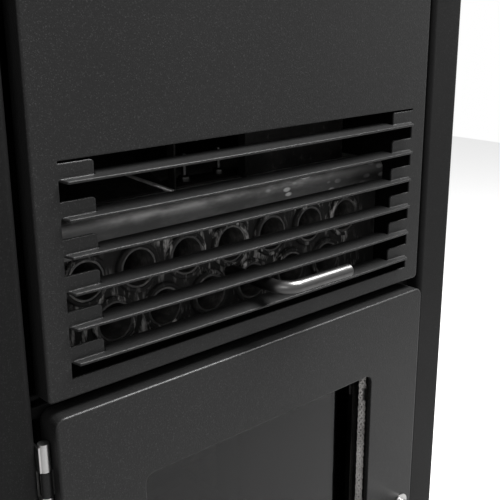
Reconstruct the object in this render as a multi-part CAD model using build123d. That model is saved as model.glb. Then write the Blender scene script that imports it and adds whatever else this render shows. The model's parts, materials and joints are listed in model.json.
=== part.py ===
from build123d import *
from math import cos, hypot, radians, sin
import os

# Pellet stove, a free-standing sheet-steel cabinet with a louvred warm-air outlet
# above a glazed fire door. Millimetres, +Z up, +Y to the back, +X to the right
# seen from the front. The origin is on the floor under the middle of the cabinet.

# Cabinet
sheet = 2.0
cabinet_width = 572.0
cabinet_depth = 596.0
column_bend = 6.0
column_return = 20.0
side_gap = 11.0
plinth_height = 55.0
plinth_inset = 20.0
base_plate = 3.0

# Front, from the floor up
drawer_gap_below = 6.0
drawer_front_height = 100.0
door_gap_below = 8.0
door_height = 400.0
door_gap_above = 10.0
panel_below_window = 16.0
window_height = 170.0
panel_above_window = 150.0
top_gap = 5.0
top_height = 24.0
top_skin = 4.0
top_skirt = 5.0
top_overhang = 3.0
top_front_overhang = 10.0
panel_width = 451.0
panel_proud = 4.0
panel_return = 20.0
door_proud = 8.0

# Louvred window
window_width = 408.0
slat_count = 6
slat_pitch = 28.4
first_slat_drop = 11.5
tab_width = 30.0
tab_height = 9.5
tab_corner = 3.0
blade_drop = 2.1
blade_front_end = 7.2
blade_front_middle = 9.4
blade_rear = 8.5
blade_rear_corner = 7.0
blade_end_clearance = 1.0
blade_end_taper = 3.5
blade_tilt = 11.0
kerf = 2.0

# Heat exchanger
tube_plate_setback = 51.0
plate = 5.0
tube_radius = 19.05
tube_wall = 2.8
tube_pitch = 52.8
upper_row_count = 7
upper_row_drop = 113.0
row_spacing = 42.5
tube_front_proud = 3.0
tube_rear_proud = 2.0
weld_width = 3.5
cover_proud = 8.5
cover_drop = 62.0
cover_skirt = 30.6
cover_bend = 8.0
cover_depth = 130.0

# Firebox
firebox_width = 424.0
firebox_depth = 236.0
firebox_floor_height = 120.0
fire_opening_width = 330.0
fire_opening_height = 335.0
fire_opening_sill = 30.0
ash_hole_width = 240.0
ash_hole_depth = 60.0
brick_thickness = 20.0
brick_width = 300.0
brick_height = 250.0
stand_plate = 4.0

# Warm-air outlet duct
duct_clearance = 7.0
duct_floor_drop = 12.0
duct_ceiling_rise = 12.0
duct_back_depth = 202.0

# Rail behind the gap over the door
rail_height = 20.0
rail_slots = ((196.0, 204.0), (212.0, 230.0))

# Bracket and bolts above the exchanger
bracket_setback = 82.0
bracket_reach = 190.0
bracket_foot = 32.0
bracket_left_edge = -45.0
bracket_right_edge = 41.0
bracket_height = 45.0
bracket_lip = 8.0
baffle_run = 92.0
baffle_rise = 34.0
bolt_head_radius = 6.0
bolt_head_height = 6.0
bolt_stud_radius = 2.5
bolt_stud_height = 26.0
bolt_places = ((-15.0, 17.0), (32.0, 22.0))

# Cleaning rod and scraper
rod_radius = 6.35
rod_drop = 140.0
rod_reach = 26.0
rod_handle = 84.0
rod_bend = 16.0
rod_clearance = 0.5
scraper_thickness = 5.0
scraper_rest_gap = 5.0
scraper_margin = 8.0
scraper_clearance = 0.5

# Fire door
door_depth = 25.0
door_skin = 4.0
door_corner = 9.0
door_window_width = 292.0
door_window_height = 242.0
door_window_corner = 9.0
door_border_top = 79.0
liner_inset = 16.0
liner_wall = 3.0
liner_lip = 12.0
liner_flange = 27.0
liner_edge = 36.5
glass_thickness = 5.0
glass_recess = 26.0
glass_play = 0.5
glass_rope = 9.0
seal_rope = 9.6
seal_clearance = 0.3
seal_inset = 12.0
clip_width = 14.0

# Door hinges
hinge_axis_gap = 5.5
hinge_radius = 4.5
hinge_pin_radius = 2.5
hinge_clearance = 0.05
hinge_knuckle = 22.0
hinge_play = 0.4
hinge_inset = 45.0

# Door latch
latch_inset = 19.5
latch_height = 140.0
latch_shaft_radius = 5.0
latch_reach = 28.0
latch_lever = 92.0
latch_grip_radius = 11.0
latch_grip_length = 66.0
cam_length = 24.0
cam_thickness = 6.0
cam_setback = 42.0
keeper_height = 30.0
keeper_lip = 5.0

# Ash drawer
drawer_width = 380.0
drawer_depth = 242.0
drawer_wall = 1.5
drawer_box_height = 82.0
drawer_lift = 13.0
drawer_front_depth = 20.0
runner_width = 25.0
pull_span = 120.0
pull_reach = 26.0
pull_radius = 5.0

# Burn pot
pot_width = 120.0
pot_depth = 90.0
pot_height = 90.0
pot_wall = 6.0
pot_rim = 8.0
pot_setback = 120.0
pot_hole_radius = 2.5
holder_height = 122.0
holder_margin = 16.0
igniter_radius = 8.0
igniter_height = 84.0
igniter_length = 96.0

# Hopper
hopper_width = 430.0
hopper_setback = 222.0
hopper_rear_gap = 33.0
hopper_straight = 65.0
hopper_shoulder = 205.0
hopper_shoulder_depth = 70.0
hopper_throat = 420.0
spout_width = 60.0
spout_setback = 87.0
spout_depth = 78.0
spout_length = 90.0
grate_bar = 4.0
grate_bars = 9
grate_drop = 40.0

# Auger feed
auger_angle = 35.0
auger_outlet_height = 325.0
auger_tube_radius = 40.0
auger_tube_wall = 2.0
auger_tube_length = 230.0
auger_flight_radius = 34.0
auger_shaft_radius = 9.0
auger_pitch = 52.0
auger_flight_thickness = 3.0
auger_turns = 3.5
auger_top_gap = 20.0
gearbox_side = 70.0
gearbox_length = 46.0
gear_motor_radius = 30.0
gear_motor_length = 52.0
chute_width = 90.0
chute_reach = 44.0

# Air plenum and convection blower
plenum_width = 380.0
plenum_depth = 58.0
plenum_bottom = 128.0
plenum_top = 3.0
air_duct_left = 110.0
air_duct_width = 80.0
convection_radius = 70.0
convection_axis_height = 125.0
convection_wheel_radius = 56.0
convection_wheel_width = 58.0
convection_blades = 20
convection_hub_length = 16.0
convection_blade_depth = 10.0
convection_inlet_radius = 44.0
convection_motor_radius = 40.0
convection_motor_length = 44.0
fan_wall = 2.0

# Exhaust blower and flue
exhaust_port_left = -112.0
exhaust_port_width = 50.0
exhaust_duct_bottom = 130.0
exhaust_duct_height = 80.0
exhaust_duct_length = 128.0
exhaust_radius = 72.0
exhaust_width = 54.0
exhaust_axis_depth = 105.0
exhaust_axis_height = 145.0
exhaust_inlet_radius = 32.0
exhaust_wheel_radius = 56.0
exhaust_wheel_width = 36.0
exhaust_blades = 8
exhaust_outlet_height = 62.0
exhaust_outlet_end = 215.0
exhaust_motor_radius = 40.0
exhaust_motor_length = 50.0
fan_shaft_radius = 4.0
fan_hub_radius = 12.0
running_clearance = 0.05
flue_radius = 38.0
flue_wall = 2.0
flue_stub = 70.0
flue_flange = 4.0
flue_flange_margin = 3.0

# Combustion air pipe, cable inlet and rear panel
intake_radius = 25.0
intake_wall = 1.5
intake_height = 160.0
intake_stub = 32.0
rear_hole_clearance = 1.0
rear_panel_play = 0.5
inlet_side_inset = 81.0
inlet_height = 60.0
inlet_width = 30.0
inlet_tall = 24.0
inlet_depth = 26.0
inlet_rim = 4.0
inlet_wall = 3.0
inlet_socket = 16.0
inlet_pin_pitch = 7.0
vent_count = 8
vent_pitch = 16.0
vent_width = 90.0
vent_slot = 6.0
vent_bottom = 90.0
screw_radius = 4.0
screw_head = 2.4

# Lid
lid_margin = 13.0
lid_gap = 0.3
lid_height = 18.0
lid_skin = 3.0
lid_axis_back = 10.0
lid_axis_rise = 8.0
lid_knuckle_radius = 5.0
lid_knuckle_length = 30.0
lid_knuckle_spread = 150.0
lid_pin_radius = 2.5
lid_handle_span = 130.0
lid_handle_rise = 24.0
lid_handle_radius = 5.0

# Control unit
control_width = 150.0
control_depth = 74.0
control_height = 14.0
control_wall = 2.0
control_right_inset = 22.0
control_front_inset = 60.0
display_place = 40.0
button_place = 85.0
knob_place = 122.0
display_width = 52.0
display_depth = 24.0
display_recess = 1.0
button_radius = 8.0
button_proud = 2.5
button_flange = 1.5
button_clearance = 0.3
knob_radius = 15.0
knob_height = 14.0
knob_shaft_radius = 3.0

# Levels
deck_z = plinth_height
drawer_z0 = deck_z + drawer_gap_below
drawer_z1 = drawer_z0 + drawer_front_height
door_z0 = drawer_z1 + door_gap_below
door_z1 = door_z0 + door_height
panel_z0 = door_z1 + door_gap_above
window_z0 = panel_z0 + panel_below_window
window_z1 = window_z0 + window_height
panel_z1 = window_z1 + panel_above_window
top_z0 = panel_z1 + top_gap
top_z1 = top_z0 + top_height
firebox_z0 = deck_z + firebox_floor_height
firebox_z1 = window_z1 - cover_drop
upper_row_z = window_z1 - upper_row_drop
lower_row_z = upper_row_z - row_spacing
rod_z = window_z1 - rod_drop

# Fronts and backs
front_y = -cabinet_depth / 2
rear_y = cabinet_depth / 2
panel_y = front_y - panel_proud
door_y = panel_y - door_proud
tube_plate_y = panel_y + tube_plate_setback
firebox_rear_y = tube_plate_y + firebox_depth
cover_y = tube_plate_y - cover_proud
hopper_front = panel_y + hopper_setback
hopper_back = rear_y - hopper_rear_gap
spout_front = firebox_rear_y + spout_setback
spout_back = spout_front + spout_depth
half_width = cabinet_width / 2
half_panel = panel_width / 2
column_x = half_panel + side_gap
half_firebox = firebox_width / 2
half_window = window_width / 2
inlet_x = half_width - inlet_side_inset
liner_outer_x = half_panel - liner_edge


def span(x0, x1, y0, y1, z0, z1):
    """Box between two corners."""
    middle = Pos((x0 + x1) / 2, (y0 + y1) / 2, (z0 + z1) / 2)
    return middle * Box(abs(x1 - x0), abs(y1 - y0), abs(z1 - z0))


def disc_x(x0, x1, y, z, radius):
    """Cylinder along X."""
    return Pos((x0 + x1) / 2, y, z) * Rot(0, 90, 0) * Cylinder(radius, abs(x1 - x0))


def disc_y(x, y0, y1, z, radius):
    """Cylinder along Y."""
    return Pos(x, (y0 + y1) / 2, z) * Rot(90, 0, 0) * Cylinder(radius, abs(y1 - y0))


def disc_z(x, y, z0, z1, radius):
    """Cylinder along Z."""
    return Pos(x, y, (z0 + z1) / 2) * Cylinder(radius, abs(z1 - z0))


def fused(pieces):
    """One solid from pieces that meet."""
    whole = pieces[0]
    for piece in pieces[1:]:
        whole = whole + piece
    return whole


def bent_sheet(points, bend, side, length, thickness=sheet):
    """Sheet bent along points in XY and extruded along Z."""
    spine = FilletPolyline(*points, radius=bend)
    outline = offset(spine, amount=thickness, side=side, closed=True)
    return extrude(make_face(outline.edges()), amount=length)


def across(solid, x0):
    """Turn a profile drawn as depth and height so that it runs along +X from x0."""
    return Pos(x0, 0, 0) * (Plane.YZ * solid)


def rounded_plate(half_x, z0, z1, y0, y1, corner):
    """Upright plate between two depths with rounded corners seen from the front."""
    slab = span(-half_x, half_x, y0, y1, z0, z1)
    return fillet(slab.edges().filter_by(Axis.Y), corner)


def rope_ring(half_x, z0, z1, y, radius):
    """Round rope laid as a rectangle with rounded corners in an upright plane."""
    corner = radius * 3
    height = z1 - z0
    path = Plane.XZ.offset(-y) * (Pos(0, (z0 + z1) / 2) * RectangleRounded(2 * half_x, height, corner))
    loop = path.wire()
    section = Plane(loop @ 0.1, z_dir=loop % 0.1) * Circle(radius)
    return sweep(section, path=loop)


def save(name, solid):
    """Write one sub-part."""
    export_step(solid, f"parts/{name}.step")
    print(name)


def make_plinth():
    """Closed base box with the deck that carries the cabinet."""
    low_x = half_width - plinth_inset
    low_y = rear_y - plinth_inset
    box = span(-low_x, low_x, -low_y, low_y, 0, deck_z - sheet)
    hollow = span(-low_x + sheet, low_x - sheet, -low_y + sheet, low_y - sheet, base_plate, deck_z - sheet)
    deck = span(-half_width, half_width, front_y, rear_y, deck_z - sheet, deck_z)
    return box - hollow + deck


def make_side_panel(hand):
    """Side of the cabinet with the narrow column beside the front; hand is 1 for the right."""
    outer = half_width * hand
    inner = column_x * hand
    points = [
        (outer - plinth_inset * hand, rear_y),
        (outer, rear_y),
        (outer, front_y),
        (inner, front_y),
        (inner, front_y + column_return),
    ]
    side = Side.RIGHT if hand > 0 else Side.LEFT
    return Pos(0, 0, deck_z) * bent_sheet(points, column_bend, side, top_z0 - deck_z)


def slat_blade(bend_z):
    """Louvre blade, tilted down to the front, with a gently bowed front edge."""
    end_x = half_window - blade_end_clearance
    tip_x = end_x - blade_end_taper
    rear_x = half_window - tab_width - kerf
    nose = ThreePointArc((-tip_x, -blade_front_end), (0, -blade_front_middle), (tip_x, -blade_front_end))
    right_edge = Polyline(
        (tip_x, -blade_front_end), (end_x, 0), (rear_x, 0), (rear_x, blade_rear), (-rear_x, blade_rear)
    )
    left_edge = Polyline((-rear_x, blade_rear), (-rear_x, 0), (-end_x, 0), (-tip_x, -blade_front_end))
    flat = make_face([nose] + right_edge.edges() + left_edge.edges())
    blade = extrude(flat, amount=-sheet)
    corners = blade.edges().filter_by(Axis.Z).group_by(Axis.Y)[-1]
    blade = fillet(corners, blade_rear_corner)
    return Pos(0, panel_y + sheet / 2, bend_z - blade_drop) * Rot(blade_tilt, 0, 0) * blade


def slat_tab(bend_z, hand):
    """Tab that joins a blade's end to the side of the window."""
    outer = half_window * hand
    inner = (half_window - tab_width) * hand
    tab = span(outer, inner, panel_y, panel_y + sheet, bend_z - blade_drop - sheet / 2, bend_z + tab_height)
    corner = tab.edges().filter_by(Axis.Y).group_by(Axis.Z)[-1].sort_by(Axis.X)[0 if hand > 0 else -1]
    return fillet(corner, tab_corner)


def make_front_panel():
    """Upper front panel: folded on four sides, with the louvres cut and bent from the sheet."""
    shell = span(-half_panel, half_panel, panel_y, panel_y + panel_return, panel_z0, panel_z1)
    shell = fillet(shell.edges().filter_by(Axis.Y), door_corner / 2)
    front = shell.faces().sort_by(Axis.Y)[0]
    shell = fillet(front.edges(), sheet)
    inner = span(
        -half_panel + sheet, half_panel - sheet, panel_y + sheet, panel_y + panel_return,
        panel_z0 + sheet, panel_z1 - sheet,
    )
    panel = shell - inner
    panel = panel - span(-half_window, half_window, panel_y, panel_y + sheet, window_z0, window_z1)
    for index in range(slat_count):
        bend_z = window_z1 - first_slat_drop - slat_pitch * index
        panel = panel + slat_blade(bend_z)
        for hand in (-1, 1):
            panel = panel + slat_tab(bend_z, hand)
    return panel


def tube_places():
    """Centres of the exchanger tubes as (x, z), upper row first."""
    places = []
    for count, level in ((upper_row_count, upper_row_z), (upper_row_count - 1, lower_row_z)):
        for index in range(count):
            places.append(((index - (count - 1) / 2) * tube_pitch, level))
    return places


def make_exchanger_tubes():
    """Thick-walled tubes that carry room air through the top of the firebox."""
    y0 = tube_plate_y - tube_front_proud
    y1 = firebox_rear_y + tube_rear_proud
    tubes = []
    for x, z in tube_places():
        tubes.append(disc_y(x, y0, y1, z, tube_radius) - disc_y(x, y0, y1, z, tube_radius - tube_wall))
    return Compound(children=tubes)


def make_firebox_face():
    """Front plate: fire opening below, tube holes with their weld collars above."""
    y1 = tube_plate_y + plate
    face = span(-half_firebox, half_firebox, tube_plate_y, y1, firebox_z0, firebox_z1)
    sill = firebox_z0 + fire_opening_sill
    half_opening = fire_opening_width / 2
    face = face - span(-half_opening, half_opening, tube_plate_y, y1, sill, sill + fire_opening_height)
    weld_y = tube_plate_y - tube_front_proud / 2
    for x, z in tube_places():
        face = face + disc_y(x, weld_y, tube_plate_y, z, tube_radius + weld_width)
    for x, z in tube_places():
        face = face - disc_y(x, weld_y, y1, z, tube_radius)
    return face - disc_y(0, weld_y, y1, rod_z, rod_radius + rod_clearance)


def auger_frame():
    """Plane on the auger's axis at the firebox wall, its z pointing down along the feed."""
    slope = radians(auger_angle)
    return Plane(
        origin=(0, firebox_rear_y, deck_z + firebox_floor_height + auger_outlet_height),
        x_dir=(1, 0, 0),
        z_dir=(0, cos(slope), -sin(slope)),
    )


def along_auger(start, end, radius):
    """Cylinder on the auger's axis between two distances from the firebox wall."""
    return auger_frame() * (Pos(0, 0, (start + end) / 2) * Cylinder(radius, end - start))


def make_firebox_shell():
    """Welded box behind the front plate, with ports for tubes, feed, igniter, air and exhaust."""
    y0 = tube_plate_y + plate
    shell = span(-half_firebox, half_firebox, y0, firebox_rear_y, firebox_z0, firebox_z1)
    shell = shell - span(
        -half_firebox + plate, half_firebox - plate, y0, firebox_rear_y - plate,
        firebox_z0 + plate, firebox_z1 - plate,
    )
    for x, z in tube_places():
        shell = shell - disc_y(x, firebox_rear_y - plate, firebox_rear_y, z, tube_radius)
    wall = firebox_rear_y - plate
    feed_radius = auger_tube_radius - auger_tube_wall
    shell = shell - along_auger(-2 * auger_tube_radius, auger_tube_radius, feed_radius)
    shell = shell - disc_y(0, wall, firebox_rear_y, deck_z + intake_height, intake_radius - intake_wall)
    igniter_z = firebox_z0 + igniter_height
    shell = shell - disc_y(0, wall, firebox_rear_y, igniter_z, igniter_radius)
    port_x1 = exhaust_port_left + exhaust_port_width
    shell = shell - span(
        exhaust_port_left + sheet, port_x1 - sheet, wall, firebox_rear_y,
        deck_z + exhaust_duct_bottom + sheet, deck_z + exhaust_duct_bottom + exhaust_duct_height - sheet,
    )
    half_ash = ash_hole_width / 2
    return shell - span(
        -half_ash, half_ash, y0 + plate, y0 + plate + ash_hole_depth, firebox_z0, firebox_z0 + plate
    )


def make_firebox_stand():
    """Two side plates under the firebox, with the ledges that the ash drawer runs on."""
    runner_z = drawer_z0 + drawer_lift / 2
    legs = []
    for hand in (-1, 1):
        outer = (half_firebox - stand_plate) * hand
        inner = (half_firebox - 2 * stand_plate) * hand
        side = span(outer, inner, tube_plate_y, firebox_rear_y, deck_z, firebox_z0)
        ledge_x = (drawer_width / 2 - runner_width / 2) * hand
        ledge = span(inner, ledge_x, tube_plate_y, firebox_rear_y, runner_z - sheet, runner_z)
        legs.append(side + ledge)
    return Compound(children=legs)


def make_exchanger_cover():
    """Sheet over the top of the firebox that rolls down in front of the tube plate."""
    points = [
        (cover_y, firebox_z1 + sheet - cover_skirt),
        (cover_y, firebox_z1 + sheet),
        (cover_y + cover_depth, firebox_z1 + sheet),
    ]
    return across(bent_sheet(points, cover_bend, Side.RIGHT, firebox_width), -half_firebox)


def make_outlet_duct():
    """Sheet box that leads the warm air from the tube ends to the louvres."""
    inner = half_firebox + duct_clearance
    outer = inner + sheet
    floor_z = window_z0 - duct_floor_drop
    ceiling_z = window_z1 + duct_ceiling_rise
    front = panel_y + sheet
    back = panel_y + duct_back_depth
    pieces = [span(-outer, outer, front, tube_plate_y, floor_z - sheet, floor_z)]
    for hand in (-1, 1):
        pieces.append(span(inner * hand, outer * hand, front, back, floor_z - sheet, ceiling_z))
    pieces.append(span(-outer, outer, front, back, ceiling_z, ceiling_z + sheet))
    pieces.append(span(-outer, outer, back - sheet, back, firebox_z1, ceiling_z))
    return fused(pieces)


def make_baffle_bracket():
    """Folded bracket on the cover: an upright sheet, a sloping sheet and a gap between."""
    z0 = firebox_z1 + sheet
    y0 = panel_y + bracket_setback
    foot = span(-bracket_reach, bracket_reach, y0, y0 + bracket_foot, z0, z0 + sheet)
    wall = span(bracket_right_edge, bracket_reach, y0, y0 + sheet, z0, z0 + bracket_height)
    top_y = y0 + baffle_run
    top_z = z0 + baffle_rise
    profile = Polyline((y0, z0), (top_y, top_z), (top_y, top_z + sheet), (y0, z0 + sheet), (y0, z0))
    ramp = extrude(make_face(profile), amount=bracket_left_edge + bracket_reach)
    pieces = [foot, wall, across(ramp, -bracket_reach)]
    for x in (bracket_left_edge, bracket_right_edge):
        edge = x + sheet
        pieces.append(span(x, edge, y0 - bracket_lip, y0 + sheet, z0, z0 + bracket_height))
    return fused(pieces)


def make_baffle_bolts():
    """Studs with domed nuts that hold the bracket down."""
    z0 = firebox_z1 + 2 * sheet
    bolts = []
    for x, back in bolt_places:
        y = panel_y + bracket_setback + back
        nut = disc_z(x, y, z0, z0 + bolt_head_height, bolt_head_radius)
        nut = fillet(nut.edges().group_by(Axis.Z)[-1], bolt_head_height / 2)
        bolts.append(nut + disc_z(x, y, z0, z0 + bolt_stud_height, bolt_stud_radius))
    return Compound(children=bolts)


def make_cross_rail():
    """Rail between the columns, behind the gap over the door, with its vent slots."""
    y0 = front_y + column_return - 3 * sheet / 2
    z1 = window_z0 - duct_floor_drop - sheet
    z0 = z1 - rail_height
    rail = span(-column_x, column_x, y0, y0 + sheet, z0, z1)
    slot_z0 = door_z1 + sheet
    slot_z1 = panel_z0 - sheet
    for hand in (-1, 1):
        for inner, outer in rail_slots:
            rail = rail - span(inner * hand, outer * hand, y0, y0 + sheet, slot_z0, slot_z1)
    return rail


def make_cleaning_rod():
    """Round rod through the tube plate, turned to the side in front of the louvres."""
    plate_y = firebox_rear_y - plate - scraper_rest_gap - scraper_thickness
    handle_y = panel_y - rod_reach
    path = FilletPolyline((0, plate_y), (0, handle_y), (rod_handle, handle_y), radius=rod_bend)
    path = Pos(0, 0, rod_z) * path
    wire = path.wire()
    section = Plane(origin=wire @ 0, z_dir=wire % 0) * Circle(rod_radius)
    rod = sweep(section, path=wire)
    tip = rod.faces().sort_by(Axis.X)[-1]
    return fillet(tip.edges(), rod_radius / 6)


def make_scraper_plate():
    """Plate that rides on the tubes and scrapes ash off them."""
    y1 = firebox_rear_y - plate - scraper_rest_gap
    y0 = y1 - scraper_thickness
    reach = (upper_row_count - 1) / 2 * tube_pitch + tube_radius + scraper_margin
    z0 = lower_row_z - tube_radius - scraper_margin
    z1 = upper_row_z + tube_radius + scraper_margin
    scraper = span(-reach, reach, y0, y1, z0, z1)
    for x, z in tube_places():
        scraper = scraper - disc_y(x, y0, y1, z, tube_radius + scraper_clearance)
    return scraper


def door_window():
    """Half width, bottom and top of the opening in the door's skin."""
    top = door_z1 - door_border_top
    return door_window_width / 2, top - door_window_height, top


def make_door_frame():
    """Folded door skin with the window opening and the hinge knuckles on its left edge."""
    back = door_y + door_depth
    shell = rounded_plate(half_panel, door_z0, door_z1, door_y, back, door_corner)
    front = shell.faces().sort_by(Axis.Y)[0]
    shell = fillet(front.edges(), sheet)
    inner = half_panel - door_skin
    shell = shell - span(-inner, inner, door_y + door_skin, back, door_z0 + door_skin, door_z1 - door_skin)
    half_x, z0, z1 = door_window()
    shell = shell - rounded_plate(half_x, z0, z1, door_y, door_y + door_skin, door_window_corner)
    shell = shell - disc_y(
        half_panel - latch_inset, door_y, door_y + door_skin,
        door_z0 + latch_height, latch_shaft_radius + running_clearance,
    )
    for z in hinge_levels():
        shell = shell + hinge_knuckle_at(z, z + hinge_knuckle, -half_panel)
    return shell - hinge_bore()


def hinge_levels():
    """Lower ends of the door's own hinge knuckles."""
    return (door_z0 + hinge_inset, door_z1 - hinge_inset - hinge_knuckle)


def hinge_x():
    """Hinge axis, in the gap beside the door."""
    return -half_panel - hinge_axis_gap


def hinge_knuckle_at(z0, z1, root_x):
    """Knuckle with its web to the metal at root_x."""
    barrel = disc_z(hinge_x(), front_y, z0, z1, hinge_radius)
    web = span(hinge_x(), root_x, front_y - sheet, front_y + sheet, z0, z1)
    return barrel + web


def hinge_bore():
    """Clearance bore for the hinge pins, over the whole door height."""
    return disc_z(hinge_x(), front_y, door_z0, door_z1, hinge_pin_radius + hinge_clearance)


def make_hinge_brackets():
    """Cabinet halves of the two door hinges, a knuckle below and above each door knuckle."""
    brackets = []
    leaf_x = -column_x + sheet
    for z in hinge_levels():
        low = z - hinge_play - hinge_knuckle
        high = z + hinge_knuckle + hinge_play
        leaf_y = front_y + hinge_radius + hinge_play
        leaf = span(-column_x, leaf_x, leaf_y, front_y + column_return, low, high + hinge_knuckle)
        for z0 in (low, high):
            leaf = leaf + hinge_knuckle_at(z0, z0 + hinge_knuckle, -column_x)
            leaf = leaf + span(-column_x, leaf_x, front_y - sheet, leaf_y, z0, z0 + hinge_knuckle)
        brackets.append(leaf - hinge_bore())
    return Compound(children=brackets)


def make_hinge_pins():
    """Headed pins of the door hinges."""
    pins = []
    for z in hinge_levels():
        z0 = z - hinge_play - hinge_knuckle
        z1 = z + 2 * hinge_knuckle + hinge_play
        head = disc_z(hinge_x(), front_y, z1, z1 + sheet, hinge_radius)
        pins.append(disc_z(hinge_x(), front_y, z0, z1, hinge_pin_radius) + head)
    return Compound(children=pins)


def ring(half_x, z0, z1, width, y0, y1):
    """Rectangular frame of one width outside the given opening."""
    outer = span(-half_x - width, half_x + width, y0, y1, z0 - width, z1 + width)
    return outer - span(-half_x, half_x, y0, y1, z0, z1)


def liner_opening():
    """Inside of the liner box behind the door window: half width, bottom and top."""
    half_x, z0, z1 = door_window()
    return half_x + liner_inset, z0 - liner_inset, z1 + liner_inset


def make_door_liner():
    """Deep frame behind the skin: carries the glass, and its flange carries the door seal."""
    half_x, z0, z1 = liner_opening()
    y0 = door_y + door_skin
    y1 = tube_plate_y - seal_clearance - seal_rope
    walls = ring(half_x, z0, z1, liner_wall, y0, y1)
    rim = liner_flange
    flange = span(-liner_outer_x, liner_outer_x, y1 - liner_wall, y1, z0 - rim, z1 + rim)
    flange = flange - span(-half_x, half_x, y1 - liner_wall, y1, z0, z1)
    lip_y = door_y + glass_recess + glass_thickness
    lip = ring(half_x - liner_lip, z0 + liner_lip, z1 - liner_lip, liner_lip, lip_y, lip_y + sheet)
    return walls + flange + lip


def make_door_glass():
    """Flat ceramic glass pane."""
    half_x, z0, z1 = liner_opening()
    y0 = door_y + glass_recess
    play = glass_play
    return span(-half_x + play, half_x - play, y0, y0 + glass_thickness, z0 + play, z1 - play)


def make_glass_gasket():
    """Rope seal in front of the edge of the glass."""
    half_x, z0, z1 = liner_opening()
    radius = glass_rope / 2
    inset = radius + glass_play
    return rope_ring(half_x - inset, z0 + inset, z1 - inset, door_y + glass_recess - radius, radius)


def make_glass_clips():
    """Small clips that hold the rope and glass in the liner."""
    half_x, z0, z1 = liner_opening()
    y1 = door_y + glass_recess - glass_rope
    clips = []
    for hand in (-1, 1):
        for share in (0.2, 0.8):
            z = z0 + (z1 - z0) * share
            clips.append(
                span((half_x - glass_rope) * hand, half_x * hand, y1 - sheet, y1, z, z + clip_width)
            )
            x = half_x * hand * (1 - share)
            clips.append(span(x, x + clip_width, y1 - sheet, y1, z0, z0 + glass_rope))
            clips.append(span(x, x + clip_width, y1 - sheet, y1, z1 - glass_rope, z1))
    return Compound(children=clips)


def make_door_gasket():
    """Rope seal between the door's flange and the firebox."""
    z0, z1 = liner_opening()[1:]
    radius = seal_rope / 2
    out = liner_flange - seal_inset
    y = tube_plate_y - seal_clearance - radius
    return rope_ring(liner_outer_x - seal_inset, z0 - out, z1 + out, y, radius)


def latch_place():
    """Latch axis as (x, z)."""
    return half_panel - latch_inset, door_z0 + latch_height


def make_latch_shaft():
    """Shaft through the door with the lever that hangs from its front end."""
    x, z = latch_place()
    front = door_y - latch_reach
    back = door_y + cam_setback + cam_thickness
    radius = latch_shaft_radius
    shaft = disc_y(x, front, back, z, radius)
    boss = disc_y(x, door_y - sheet, door_y - sheet / 4, z, 2 * radius)
    lever = disc_z(x, front + radius, z - latch_lever, z, radius)
    return shaft + boss + lever


def make_latch_grip():
    """Turned grip on the lever."""
    x, z = latch_place()
    y = door_y - latch_reach + latch_shaft_radius
    z0 = z - latch_lever - latch_shaft_radius
    grip = disc_z(x, y, z0, z0 + latch_grip_length, latch_grip_radius)
    grip = fillet(grip.edges(), latch_grip_radius / 3)
    return grip - disc_z(x, y, z - latch_lever, z, latch_shaft_radius)


def make_latch_cam():
    """Cam on the back end of the shaft, up when the door is free to open."""
    x, z = latch_place()
    y0 = door_y + cam_setback
    y1 = y0 + cam_thickness
    radius = latch_shaft_radius
    cam = disc_y(x, y0, y1, z, 2 * radius)
    arm = span(x - radius, x + radius, y0, y1, z, z + cam_length)
    cam = cam + fillet(arm.edges().filter_by(Axis.Y).group_by(Axis.Z)[-1], radius / 2)
    return cam - disc_y(x, y0, y1, z, radius)


def make_door_keeper():
    """Strike on the right column that the cam turns behind."""
    z = door_z0 + latch_height
    z0 = z - keeper_height / 2
    z1 = z + keeper_height / 2
    cam_y = door_y + cam_setback
    x1 = column_x
    tip_x = latch_place()[0] + cam_length - keeper_lip
    leaf = span(x1 - sheet, x1, front_y + sheet, cam_y + cam_thickness, z0, z1)
    lip = span(tip_x, x1, cam_y - keeper_lip - lid_gap, cam_y - lid_gap, z0, z1)
    return leaf + lip


def make_ash_drawer():
    """Tray under the firebox."""
    half = drawer_width / 2
    z0 = drawer_z0 + drawer_lift / 2 + lid_gap
    z1 = z0 + drawer_box_height
    y0 = panel_y + drawer_front_depth
    y1 = y0 + drawer_depth
    tray = span(-half, half, y0, y1, z0, z1)
    wall = drawer_wall
    return tray - span(-half + wall, half - wall, y0 + wall, y1 - wall, z0 + wall, z1)


def make_drawer_front():
    """Folded front of the drawer."""
    back = panel_y + drawer_front_depth
    front = rounded_plate(half_panel, drawer_z0, drawer_z1, panel_y, back, door_corner)
    front = fillet(front.faces().sort_by(Axis.Y)[0].edges(), sheet)
    inner = half_panel - sheet
    hollow = span(-inner, inner, panel_y + sheet, back, drawer_z0 + sheet, drawer_z1 - sheet)
    half = drawer_width / 2
    pad = span(-half, half, panel_y + sheet, back, drawer_z0 + 2 * drawer_lift, drawer_z1 - 2 * drawer_lift)
    return front - hollow + pad


def handle_bar(span_x, y_root, z_root, rise, radius, forward):
    """Bow handle along X that rises forward (-Y) or up (+Z) from its root."""
    half = span_x / 2
    path = FilletPolyline((-half, 0), (-half, rise), (half, rise), (half, 0), radius=2 * radius)
    wire = path.wire()
    section = Plane(origin=wire @ 0, z_dir=wire % 0) * Circle(radius)
    bow = sweep(section, path=wire)
    turn = Rot(180, 0, 0) if forward else Rot(90, 0, 0)
    return Pos(0, y_root, z_root) * turn * bow


def make_drawer_pull():
    """Bow handle on the drawer front."""
    z = (drawer_z0 + drawer_z1) / 2
    return handle_bar(pull_span, panel_y, z, pull_reach, pull_radius, True)


def pot_table():
    """Level of the plate that carries the burn pot."""
    return firebox_z0 + holder_height


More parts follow.
